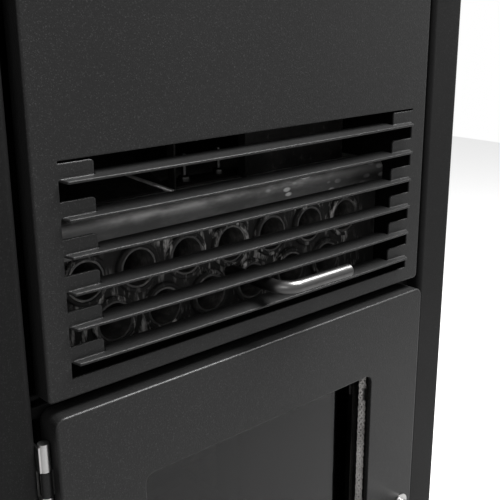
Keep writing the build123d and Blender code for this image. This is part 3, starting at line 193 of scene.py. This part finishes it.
# %% [markdown]
# ## Fire-side steel
# Everything behind the louvres and the door has seen heat: dull paint with soot and rust-brown
# patches, mill scale on the tubes, a light crust between them, and a worn cover above whose rolled
# top edge is painted light, a painted highlight mixed with wear. Stains are low-frequency noise, and
# scale is finer noise with a high threshold. The crust is noise drawn out up and down, and kept to
# the height of the tubes.


# %% Sooty steel, tubes, tube plate and cover
def sooty_steel(name, level):
    steel = Finish(name, specular_ior_level=0.06)
    soot = steel.ease(steel.noise(14, 4, 0.65), 0.35, 0.7)
    ash = steel.ease(steel.noise(90, 4, 0.7), 0.56, 0.78)
    base = steel.tint(soot, grey(0.014 * level, 0.04), grey(0.004 * level))
    colour = steel.tint(ash * 0.35, base, grey(0.1 * level, 0.06))
    relief = steel.noise(260, 4, 0.7)
    normal = steel.bumped(relief, 0.0005, steel.soft_edges(0.0008))
    steel.paint(base_color=colour, roughness=soot * 0.25 + 0.5, normal=normal)
    return steel.material


def scaled_tube():
    tube = Finish("scaled_tube_steel", specular_ior_level=0.5)
    scale = tube.ease(tube.noise(120, 5, 0.7), 0.45, 0.68)
    soot = tube.ease(tube.noise(22, 3), 0.4, 0.66)
    colour = tube.tint(scale * 0.8, grey(0.03, 0.03), grey(0.17, 0.04))
    colour = tube.tint(soot * 0.55, colour, grey(0.015))
    normal = tube.bumped(tube.noise(420, 4, 0.7), 0.0005)
    tube.paint(base_color=colour, metallic=scale * 0.5, roughness=soot * 0.2 + 0.42, normal=normal)
    return tube.material


def crusted_plate():
    plate = Finish("crusted_tube_plate", specular_ior_level=0.2)
    drawn = plate.noise(1.0, 4, 0.7, plate.stretched(150, 150, 34, (0, 0.5, 0)))
    crust = plate.ease(drawn, 0.5, 0.66)
    zone = plate.ease(plate.noise(17, 2), 0.34, 0.58)
    near_tubes = plate.ease(plate.axis("Z"), 0.56, 0.6)
    share = crust * zone * near_tubes
    colour = plate.tint(share, grey(0.012, 0.03), grey(0.42, 0.02))
    normal = plate.bumped(drawn, 0.0011, plate.soft_edges(0.001))
    plate.paint(base_color=colour, roughness=0.75 - share * 0.25, metallic=share * 0.4, normal=normal)
    return plate.material


def cover_wear_and_highlight():
    cover = Finish("cover_finish_wear_and_highlight", specular_ior_level=0.5)
    streak = cover.noise(1.0, 4, 0.62, cover.stretched(26, 300, 420))
    wear = cover.ease(cover.noise(38, 4, 0.65, cover.stretched(0.35, 1, 1)), 0.42, 0.62)
    cover_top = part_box("exchanger_cover")[1].z
    lip = cover.ease(cover.axis("Z"), cover_top - 0.014, cover_top - 0.002)
    blob = cover.cells(1.0, point=cover.stretched(52, 90, 110))
    patch = cover.ease(cover.noise(9, 1), 0.5, 0.6)
    spatter = cover.ease(1 - blob, 0.66, 0.8) * patch
    # The cover's top band is painted light: a painted highlight along the rolled edge, partly real wear.
    rolled_edge_wear_and_highlight = lip * (wear * 0.6 + 0.4)
    colour = cover.tint(wear * 0.1 + rolled_edge_wear_and_highlight * 0.9, grey(0.014, 0.02), grey(0.4, 0.01))
    colour = cover.tint(spatter, colour, grey(0.45))
    shine = wear * 0.08 + rolled_edge_wear_and_highlight * 0.5 + spatter * 0.4
    relief = streak * 0.5 + spatter * 1.4
    normal = cover.bumped(relief, 0.0004)
    cover.paint(base_color=colour, metallic=shine, roughness=0.52 - streak * 0.22, normal=normal)
    return cover.material


sooty = sooty_steel("sooty_steel", 1.0)
# The deep sheets behind the louvres take this steel at a quarter of its colour, as painted shade.
painted_shade_steel = sooty_steel("painted_shade_steel", 0.25)
tubes = scaled_tube()
cover_steel = cover_wear_and_highlight()
plate_crust = crusted_plate()
print("fire-side finishes", sooty.name, tubes.name, plate_crust.name, cover_steel.name)

# %% [markdown]
# ## Bright and galvanised steel
# The hinges and pulls are plain bright bar: metal with fine drawing lines along it and a little
# tarnish. The cleaning rod is the same bar painted far darker, as painted shade, and the baffle's
# bolts are written nearly black.
# The hopper, ducts and fans inside are galvanised sheet, whose zinc crystals show as flat patches
# that each shine differently. The motors are painted, and the burn pot is cast.


# %% Metals, castings and plastics
def drawn_bar(name, clean, stained):
    bar = Finish(name, metallic=1.0)
    lines = bar.noise(1.0, 3, 0.6, bar.stretched(60, 900, 900))
    cross = bar.noise(1.0, 3, 0.6, bar.stretched(900, 900, 60))
    tarnish = bar.ease(bar.noise(70, 4, 0.65), 0.5, 0.75)
    colour = bar.tint(tarnish * 0.6, grey(clean, 0.01), grey(stained, 0.04))
    relief = lines * 0.6 + cross * 0.4
    rough = tarnish * 0.14 + lines * 0.12 + 0.26
    bar.paint(base_color=colour, roughness=rough, normal=bar.bumped(relief, 0.00012))
    return bar.material


def galvanised():
    zinc = Finish("galvanised_sheet", metallic=0.9)
    spangle = zinc.add("ShaderNodeTexVoronoi", {}, {"Vector": zinc.point, "Scale": 95.0}, "Color")
    crystal = zinc.add("ShaderNodeSeparateColor", {}, {"Color": spangle})
    colour = zinc.tint(crystal, grey(0.2, -0.01), grey(0.27, -0.01))
    dirt = zinc.ease(zinc.noise(24, 4, 0.6), 0.5, 0.8)
    colour = zinc.tint(dirt * 0.4, colour, grey(0.12, 0.08))
    normal = zinc.bumped(zinc.noise(300, 2), 0.0001, zinc.soft_edges(0.0007))
    zinc.paint(base_color=colour, roughness=crystal * 0.14 + dirt * 0.2 + 0.32, normal=normal)
    return zinc.material


def cast_iron():
    iron = Finish("cast_iron", specular_ior_level=0.4)
    grain = iron.noise(380, 4, 0.7)
    rust = iron.ease(iron.noise(30, 4, 0.7), 0.55, 0.75)
    colour = iron.tint(grain, grey(0.03), grey(0.075, 0.04))
    colour = iron.tint(rust * 0.5, colour, (0.11, 0.045, 0.02, 1))
    iron.paint(base_color=colour, roughness=grain * 0.2 + 0.55, normal=iron.bumped(grain, 0.0008))
    return iron.material


def firebrick():
    brick = Finish("firebrick", specular_ior_level=0.2)
    upright = brick.add("ShaderNodeMapping", {}, {"Vector": brick.point, "Rotation": (math.pi / 2, 0, 0)})
    sizes = {"Scale": 1.0, "Mortar Size": 0.0016, "Brick Width": 0.114, "Row Height": 0.064}
    joint = brick.add("ShaderNodeTexBrick", {"offset": 0.5}, {"Vector": upright, **sizes}, "Fac")
    grain = brick.noise(210, 4, 0.7)
    soot = brick.ease(brick.noise(11, 4, 0.6), 0.3, 0.58)
    colour = brick.tint(grain, (0.42, 0.32, 0.22, 1), (0.58, 0.48, 0.36, 1))
    colour = brick.tint(joint * 0.7, colour, grey(0.3, 0.1))
    colour = brick.tint(soot * 0.85, colour, grey(0.03, 0.05))
    relief = grain * 0.35 - joint
    brick.paint(base_color=colour, roughness=grain * 0.1 + 0.82, normal=brick.bumped(relief, 0.0012))
    return brick.material


def moulded(name, colour, rough, grain):
    plastic = Finish(name)
    spark = plastic.noise(1500, 2)
    wear = plastic.ease(plastic.noise(40, 3), 0.5, 0.75)
    light = tuple(min(1.0, c * 1.5) for c in colour[:3]) + (1.0,)
    normal = plastic.bumped(spark, grain, plastic.soft_edges(0.0005))
    shade = plastic.tint(wear * 0.3, colour, light)
    plastic.paint(base_color=shade, roughness=spark * 0.12 + wear * 0.08 + rough, normal=normal)
    return plastic.material


def hot_glass():
    glass = Finish("ceramic_glass", transmission_weight=1.0, ior=1.3)
    haze = glass.ease(glass.noise(9, 4, 0.6), 0.5, 0.85)
    colour = glass.tint(haze, grey(0.12, 0.03), grey(0.07, 0.08))
    glass.paint(base_color=colour, roughness=haze * 0.04 + 0.01)
    return glass.material


def rope_yarn():
    yarn = Finish("glass_fibre_rope", specular_ior_level=0.25)
    fibre = yarn.noise(1600, 3, 0.7)
    stain = yarn.ease(yarn.noise(60, 3), 0.45, 0.7)
    colour = yarn.tint(fibre, grey(0.34, 0.03), grey(0.62, 0.03))
    colour = yarn.tint(stain * 0.5, colour, grey(0.14, 0.05))
    yarn.paint(base_color=colour, roughness=fibre * 0.1 + 0.8, normal=yarn.bumped(fibre, 0.0003))
    return yarn.material


steel_bar = drawn_bar("bright_drawn_steel", 0.42, 0.2)
# The cleaning rod's colour is painted far darker than real steel, as painted shade on its reflection.
rod_bar_painted_dark = drawn_bar("rod_steel_painted_dark", 0.075, 0.04)
# The baffle's bolts are written nearly black.
bolt_steel = drawn_bar("near_black_bolt_steel", 0.05, 0.02)
zinc_sheet = galvanised()
motor_paint = powder_coat("motor_black_paint", 0.03, 0.35, 0.5, 0.0001)
black_plastic = moulded("moulded_black_plastic", grey(0.022), 0.34, 0.00012)
grey_plastic = moulded("moulded_grey_plastic", grey(0.3), 0.26, 0.00008)
rope = rope_yarn()
by_slot = {
    "cabinet_paint": cabinet_coat, "sooty_steel": sooty, "tube_steel": tubes, "sheet_steel": zinc_sheet,
    "bright_steel": steel_bar, "cast_iron": cast_iron(), "firebrick": firebrick(), "door_glass": hot_glass(),
    "rope": rope, "motor_black": motor_paint, "black_plastic": black_plastic, "grey_plastic": grey_plastic,
}
print("finishes", len(bpy.data.materials))

# %% [markdown]
# ## Dress the CAD pieces
# Each CAD piece names the slot that it is finished in, so a loop gives it that slot's material. A
# few pieces differ from their slot: the columns beside the front are flatter than the front, the cover
# over the tubes is worn and carries a painted highlight on its rolled edge, and the deep sheets behind
# the louvres are painted nearly black, as painted shade.

# %% Give each piece its finish
own_finish = {
    "side_panel_left": column_coat, "side_panel_right": column_coat, "exchanger_cover": cover_steel,
    "cross_rail": column_coat, "firebox_face": plate_crust, "cleaning_rod": rod_bar_painted_dark,
    "baffle_bolts": bolt_steel, "outlet_duct": painted_shade_steel, "firebox_shell": painted_shade_steel,
}


def dress(piece, material):
    piece.data.materials.clear()
    piece.data.materials.append(material)


for name, piece in nodes.items():
    dress(piece, own_finish.get(name, by_slot[slot_of[name]]))
print("dressed", len(nodes), "pieces")

# %% [markdown]
# ## Modelling helpers
# New pieces are modelled as by hand: add a primitive, shape it in edit mode, apply its modifiers.
# An operator works on what is selected, so everything is deselected first. A finished piece keeps
# its place in its mesh, with its object at the origin.


# %% Selecting, applying and finishing
def only(piece):
    bpy.ops.object.select_all(action="DESELECT")
    piece.select_set(True)
    bpy.context.view_layer.objects.active = piece
    return piece


def fresh(name):
    """Name the primitive that an operator has just made."""
    piece = bpy.context.view_layer.objects.active
    piece.name = name
    piece.data.name = name
    return piece


def deselect():
    bpy.ops.object.select_all(action="DESELECT")


def apply_all(piece):
    only(piece)
    for modifier in list(piece.modifiers):
        bpy.ops.object.modifier_apply(modifier=modifier.name)


def settle(piece, body, material, smooth=40.0):
    """Put the piece's place into its mesh, shade it, and let it ride on a body."""
    only(piece)
    bpy.ops.object.transform_apply(location=True, rotation=True, scale=True)
    bpy.ops.object.shade_smooth_by_angle(angle=math.radians(smooth))
    dress(piece, material)
    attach(piece, body)
    return piece


def copied(piece, name, move):
    """A copy with its own mesh, moved by a matrix."""
    twin = bpy.data.objects.new(name, piece.data.copy())
    twin.data.name = name
    twin.data.transform(move)
    bpy.context.scene.collection.objects.link(twin)
    return twin


print("modelling helpers ready")

# %% [markdown]
# ## Weld beads
# Every exchanger tube is welded into the front plate with a hand-run bead, rough and a little
# uneven. A torus would be too perfect, so its points are shaken in edit mode and then rounded
# again by a subdivision surface. Each tube gets a copy, turned by its own angle.

# %% Beads round the tube ends
tube_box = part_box("exchanger_tubes")
plate_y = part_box("firebox_face")[0].y
tube_radius = 0.01905
tube_pitch = 0.0528
upper_z = tube_box[1].z - tube_radius
lower_z = tube_box[0].z + tube_radius
bead_radius = 0.0026
bead_reach = 0.0012
bead_unevenness = 0.0011
bead_stand_off = 0.0006

deselect()
bpy.ops.mesh.primitive_torus_add(
    major_radius=tube_radius + bead_reach, minor_radius=bead_radius, major_segments=40, minor_segments=8,
    rotation=(math.pi / 2, 0, 0),
)
bead = fresh("weld_bead")
only(bead)
bpy.ops.object.transform_apply(location=True, rotation=True, scale=True)
bpy.ops.object.mode_set(mode="EDIT")
bpy.ops.mesh.select_all(action="SELECT")
bpy.ops.transform.vertex_random(offset=bead_unevenness, seed=4)
bpy.ops.object.mode_set(mode="OBJECT")
bead.modifiers.new("round", "SUBSURF").levels = 1
apply_all(bead)

places = [(tube_pitch * (i - 3), upper_z) for i in range(7)]
places += [(tube_pitch * (i - 2.5), lower_z) for i in range(6)]
for index, (x, z) in enumerate(places):
    place = Matrix.Translation((x, plate_y - bead_stand_off, z)) @ Matrix.Rotation(1.7 * index, 4, "Y")
    settle(copied(bead, f"weld_bead_{index + 1}", place), "cabinet", plate_crust, 60)
bpy.data.objects.remove(bead)
print("weld beads", len(places), "plate at", round(plate_y, 4))

# %% [markdown]
# ## Hem of the baffle sheet
# The photo shows a bright slanting bar behind the top louvre, most likely a folded hem. The CAD
# sheet has no edge there, so this is a round bar with softened ends, laid on the sheet between two
# points that were chosen to match the photo.

# %% Lay the hem
hem_top = Vector((-0.0715, -0.189, 0.7182))
hem_foot = Vector((-0.0445, -0.229, 0.7046))
hem_radius = 0.0021
run = hem_foot - hem_top
deselect()
bpy.ops.mesh.primitive_cylinder_add(
    vertices=24, radius=hem_radius, depth=run.length, location=(hem_top + hem_foot) / 2,
    rotation=run.to_track_quat("Z", "Y").to_euler(),
)
hem = fresh("baffle_hem")
ends = hem.modifiers.new("ends", "BEVEL")
ends.width = 0.0008
ends.segments = 3
apply_all(hem)
settle(hem, "cabinet", cover_steel)
print("hem length", round(run.length, 4))

# %% [markdown]
# ## Braided rope seals
# The glass and the door are sealed by braided glass-fibre rope. In the photo it shows as a row of
# light dots beside the glass. A tube with a bump would look smooth at its edge, so the braid is
# real: eight yarns wind round the rope's line, four each way, and weave over and under.


# %% Braid a rope round a rectangle
def loop_point(share, half_x, z0, z1, corner):
    """Point and outward direction at a share of the way round a rounded rectangle."""
    wide = 2 * (half_x - corner)
    tall = z1 - z0 - 2 * corner
    arc = math.pi / 2 * corner
    run = share * (2 * wide + 2 * tall + 4 * arc)
    centres = ((half_x - corner, z0 + corner), (half_x - corner, z1 - corner),
               (corner - half_x, z1 - corner), (corner - half_x, z0 + corner))
    for side, length in enumerate((tall, wide, tall, wide)):
        turn = side * math.pi / 2
        out = Vector((math.cos(turn), 0, math.sin(turn)))
        along = Vector((-math.sin(turn), 0, math.cos(turn)))
        start = Vector((centres[side][0], 0, centres[side][1])) + out * corner
        if run <= length:
            return start + along * run, out
        run -= length
        middle = Vector((centres[(side + 1) % 4][0], 0, centres[(side + 1) % 4][1]))
        if run <= arc:
            angle = turn + run / corner
            out = Vector((math.cos(angle), 0, math.sin(angle)))
            return middle + out * corner, out
        run -= arc
    return loop_point(0, half_x, z0, z1, corner)


def braided_rope(name, node, body, radius):
    low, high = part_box(node)
    half_x = (high.x - low.x) / 2 - radius
    z0 = low.z + radius
    z1 = high.z - radius
    corner = 3 * radius
    deep = Vector((0, 1, 0))
    middle_y = (low.y + high.y) / 2
    length = 2 * (2 * half_x + z1 - z0)
    turns = round(length / (6.5 * radius))
    steps = turns * 12
    curve = bpy.data.curves.new(name, "CURVE")
    curve.dimensions = "3D"
    curve.bevel_depth = radius * 0.27
    curve.bevel_resolution = 1
    for way in (-1, 1):
        for strand in range(4):
            spline = curve.splines.new("POLY")
            spline.points.add(steps - 1)
            spline.use_cyclic_u = True
            for step in range(steps):
                middle, out = loop_point(step / steps, half_x, z0, z1, corner)
                angle = way * 2 * math.pi * turns * step / steps + strand * math.pi / 2
                weave = math.cos(4 * math.pi * turns * step / steps * 2 + strand * math.pi)
                reach = radius * (0.66 + 0.07 * way * weave)
                point = middle + (out * math.cos(angle) + deep * math.sin(angle)) * reach
                spline.points[step].co = (point.x, point.y + middle_y, point.z, 1)
    cord = bpy.data.objects.new(name, curve)
    bpy.context.scene.collection.objects.link(cord)
    only(cord)
    bpy.ops.object.convert(target="MESH")
    seal = fresh(name)
    settle(seal, body, rope, 80)
    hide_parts(node)
    print(name, "turns", turns, "faces", len(seal.data.polygons))
    return seal


braided_rope("glass_rope", "glass_gasket", "fire_door", 0.0045)
braided_rope("door_rope", "door_gasket", "fire_door", 0.0048)

# %% [markdown]
# ## Rear screws
# The back sheet is held by pan-head screws. The head is a low dome with a cross recess, cut with a
# Boolean so that it is real geometry. One is modelled, and the rest are copies at the CAD places.

# %% Cross-recess screw heads
screw_radius = 0.004
screw_height = 0.0024
recess_size = (0.0046, 0.0022, 0.0009)

deselect()
bpy.ops.mesh.primitive_cylinder_add(
    vertices=32, radius=screw_radius, depth=screw_height, rotation=(math.pi / 2, 0, 0),
)
screw = fresh("rear_screw")
only(screw)
bpy.ops.object.transform_apply(location=True, rotation=True, scale=True)
bpy.ops.object.mode_set(mode="EDIT")
mesh = bmesh.from_edit_mesh(screw.data)
for edge in mesh.edges:
    edge.select = all(vertex.co.y > 0 for vertex in edge.verts)
mesh.select_flush_mode()
bmesh.update_edit_mesh(screw.data)
bpy.ops.mesh.bevel(offset=0.0015, segments=4)
bpy.ops.object.mode_set(mode="OBJECT")
for turn in (0, math.pi / 2):
    deselect()
    bpy.ops.mesh.primitive_cube_add(size=1, location=(0, screw_height / 2, 0), rotation=(0, turn, 0))
    slot_cutter = fresh("recess")
    slot_cutter.scale = recess_size
    cut = screw.modifiers.new("recess", "BOOLEAN")
    cut.operation = "DIFFERENCE"
    cut.object = slot_cutter
    bpy.context.view_layer.update()
    apply_all(screw)
    bpy.data.objects.remove(slot_cutter)

screw_low, screw_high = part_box("rear_screws")
screw_rows = 5
row_step = (screw_high.z - screw_low.z - 2 * screw_radius) / (screw_rows - 1)
count = 0
for x in (screw_low.x + screw_radius, screw_high.x - screw_radius):
    for row in range(screw_rows):
        z = screw_low.z + screw_radius + row_step * row
        seat = Matrix.Translation((x, screw_low.y + screw_height / 2, z))
        place = seat @ Matrix.Rotation(0.5 * count, 4, "Y")
        count += 1
        head = copied(screw, f"rear_screw_{count}", place)
        settle(head, "cabinet", steel_bar, 35)
        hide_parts("rear_screws")
bpy.data.objects.remove(screw)
print("rear screws", count)

# %% [markdown]
# ## Display and feed scale
# The control unit has a smoked window over a small display, and a scale of plain numbers round the
# feed knob. The button and the knob themselves are CAD pieces.


# %% The control unit's face
def lit(name, colour, strength):
    glow = Finish(name, emission_strength=strength, roughness=0.4)
    dots = glow.noise(3000, 0)
    glow.paint(base_color=grey(0.02), emission_color=glow.tint(dots, colour, tuple(c * 0.8 for c in colour)))
    return glow.material


def printed(name):
    ink = Finish(name)
    grain = ink.noise(2400, 2)
    ink.paint(base_color=ink.tint(grain, grey(0.55), grey(0.7)), roughness=grain * 0.1 + 0.5)
    return ink.material


def smoked():
    lens = Finish("smoked_lens", coat_weight=1.0, coat_roughness=0.03)
    cloud = lens.noise(30, 2)
    lens.paint(base_color=lens.tint(cloud, grey(0.006), grey(0.012)), roughness=cloud * 0.05 + 0.06)
    return lens.material


panel_low, panel_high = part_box("control_panel")
face_z = panel_high.z
knob_low, knob_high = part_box("feed_knob")
knob_middle = (knob_low + knob_high) / 2
display_inset = 0.04
display_middle = Vector((panel_low.x + display_inset, (panel_low.y + panel_high.y) / 2, face_z))
lens_size = (0.0516, 0.0236, 0.0008)

deselect()
bpy.ops.mesh.primitive_cube_add(size=1, location=display_middle - Vector((0, 0, 0.0005)))
lens = fresh("display_lens")
lens.scale = lens_size
only(lens)
bpy.ops.object.transform_apply(location=True, rotation=True, scale=True)
rim = lens.modifiers.new("rim", "BEVEL")
rim.width = 0.0002
rim.segments = 2
apply_all(lens)
settle(lens, "cabinet", smoked())


def lettered(name, words, height, place, material):
    """Raised print from a text object, made a mesh."""
    deselect()
    bpy.ops.object.text_add(location=place)
    text = bpy.context.view_layer.objects.active
    text.data.body = words
    text.data.size = height
    text.data.extrude = 0.00006
    text.data.align_x = "CENTER"
    text.data.align_y = "CENTER"
    only(text)
    bpy.ops.object.convert(target="MESH")
    return settle(fresh(name), "cabinet", material)


ink = printed("scale_print")
amber = lit("amber_digits", (1.0, 0.42, 0.08, 1), 1.6)
lettered("display_digits", "21", 0.019, display_middle + Vector((0, 0, 0.00002)), amber)
scale_radius = 0.0195
scale_start = 225
scale_step = 67.5
for mark in range(5):
    angle = math.radians(scale_start - scale_step * mark)
    place = Vector((math.cos(angle), math.sin(angle), 0)) * scale_radius
    place += Vector((knob_middle.x, knob_middle.y, face_z + 0.00004))
    lettered(f"scale_number_{mark + 1}", str(mark + 1), 0.005, place, ink)
print("control face at", round(face_z, 4))

# %% [markdown]
# ## The studio
# The photo is a product shot on white. Its bends and the rod shine on the upper side, so a broad
# soft lamp hangs high on the right, with a weaker one on the left. The surround is white to the
# camera, to gloss and to glass, and a mid grey to everything else. The key lamp is strong: faces
# turned up to it come out about four times as bright as written, and the front about one and a
# half times. The steels, the zinc and the floor are written darker than the real ones to suit it.
# The floor adds white for the camera alone, which keeps it pale and leaves the shadow.


# %% World, floor, lamps and camera
def surround(level):
    world = bpy.data.worlds.new("studio")
    bpy.context.scene.world = world
    world.use_nodes = True
    tree = world.node_tree
    back = tree.nodes["Background"]
    path = tree.nodes.new("ShaderNodeLightPath")
    seen = tree.nodes.new("ShaderNodeMath")
    seen.operation = "MAXIMUM"
    clear = tree.nodes.new("ShaderNodeMath")
    clear.operation = "MAXIMUM"
    blend = tree.nodes.new("ShaderNodeMapRange")
    tree.links.new(path.outputs["Is Camera Ray"], seen.inputs[0])
    tree.links.new(path.outputs["Is Glossy Ray"], seen.inputs[1])
    tree.links.new(seen.outputs[0], clear.inputs[0])
    tree.links.new(path.outputs["Is Transmission Ray"], clear.inputs[1])
    tree.links.new(clear.outputs[0], blend.inputs["Value"])
    blend.inputs["To Min"].default_value = level
    blend.inputs["To Max"].default_value = 1.0
    tree.links.new(blend.outputs[0], back.inputs["Strength"])
    back.inputs["Color"].default_value = (1, 1, 1, 1)


def softbox(name, place, target, size, power):
    lamp = bpy.data.lights.new(name, "AREA")
    lamp.shape = "SQUARE"
    lamp.size = size
    lamp.energy = power
    holder = bpy.data.objects.new(name, lamp)
    holder.location = place
    holder.rotation_mode = "QUATERNION"
    holder.rotation_quaternion = (Vector(target) - Vector(place)).to_track_quat("-Z", "Y")
    bpy.context.scene.collection.objects.link(holder)


def floor_paint():
    paper = Finish("pale_floor", specular_ior_level=0.1, emission_strength=1.0)
    fibre = paper.noise(40, 3)
    seen = paper.add("ShaderNodeLightPath", {}, {}, "Is Camera Ray")
    paper.paint(emission_color=paper.tint(seen, grey(0), grey(0.6)))
    paper.paint(base_color=paper.tint(fibre, grey(0.4), grey(0.43)), roughness=fibre * 0.1 + 0.8)
    return paper.material


surround(0.3)
softbox("key", (1.05, -0.8, 2.55), (0, -0.25, 0.68), 1.0, 230)
softbox("fill", (-1.7, -1.5, 1.7), (0, -0.2, 0.6), 1.2, 16)

deselect()
bpy.ops.mesh.primitive_plane_add(size=8, location=(0, 0, 0))
floor = fresh("studio_floor")
dress(floor, floor_paint())

camera_place = (-0.5037, -0.8414, 0.8812)
camera_turn = math.radians(41.91)
camera_dip = math.radians(16.92)
camera_roll = math.radians(-0.31)
focal_pixels = 855.2
frame_pixels = 500
lens_data = bpy.data.cameras.new("camera")
lens_data.sensor_width = 36
lens_data.lens = 36 * focal_pixels / frame_pixels
lens_data.clip_start = 0.01
camera = bpy.data.objects.new("camera", lens_data)
turned = Matrix.Rotation(-camera_turn, 4, "Z") @ Matrix.Rotation(math.pi / 2 - camera_dip, 4, "X")
camera.matrix_world = Matrix.Translation(camera_place) @ turned @ Matrix.Rotation(camera_roll, 4, "Z")
bpy.context.scene.collection.objects.link(camera)
bpy.context.scene.camera = camera
bpy.context.scene.view_settings.view_transform = "Standard"
print("lens", round(lens_data.lens, 2), "mm")
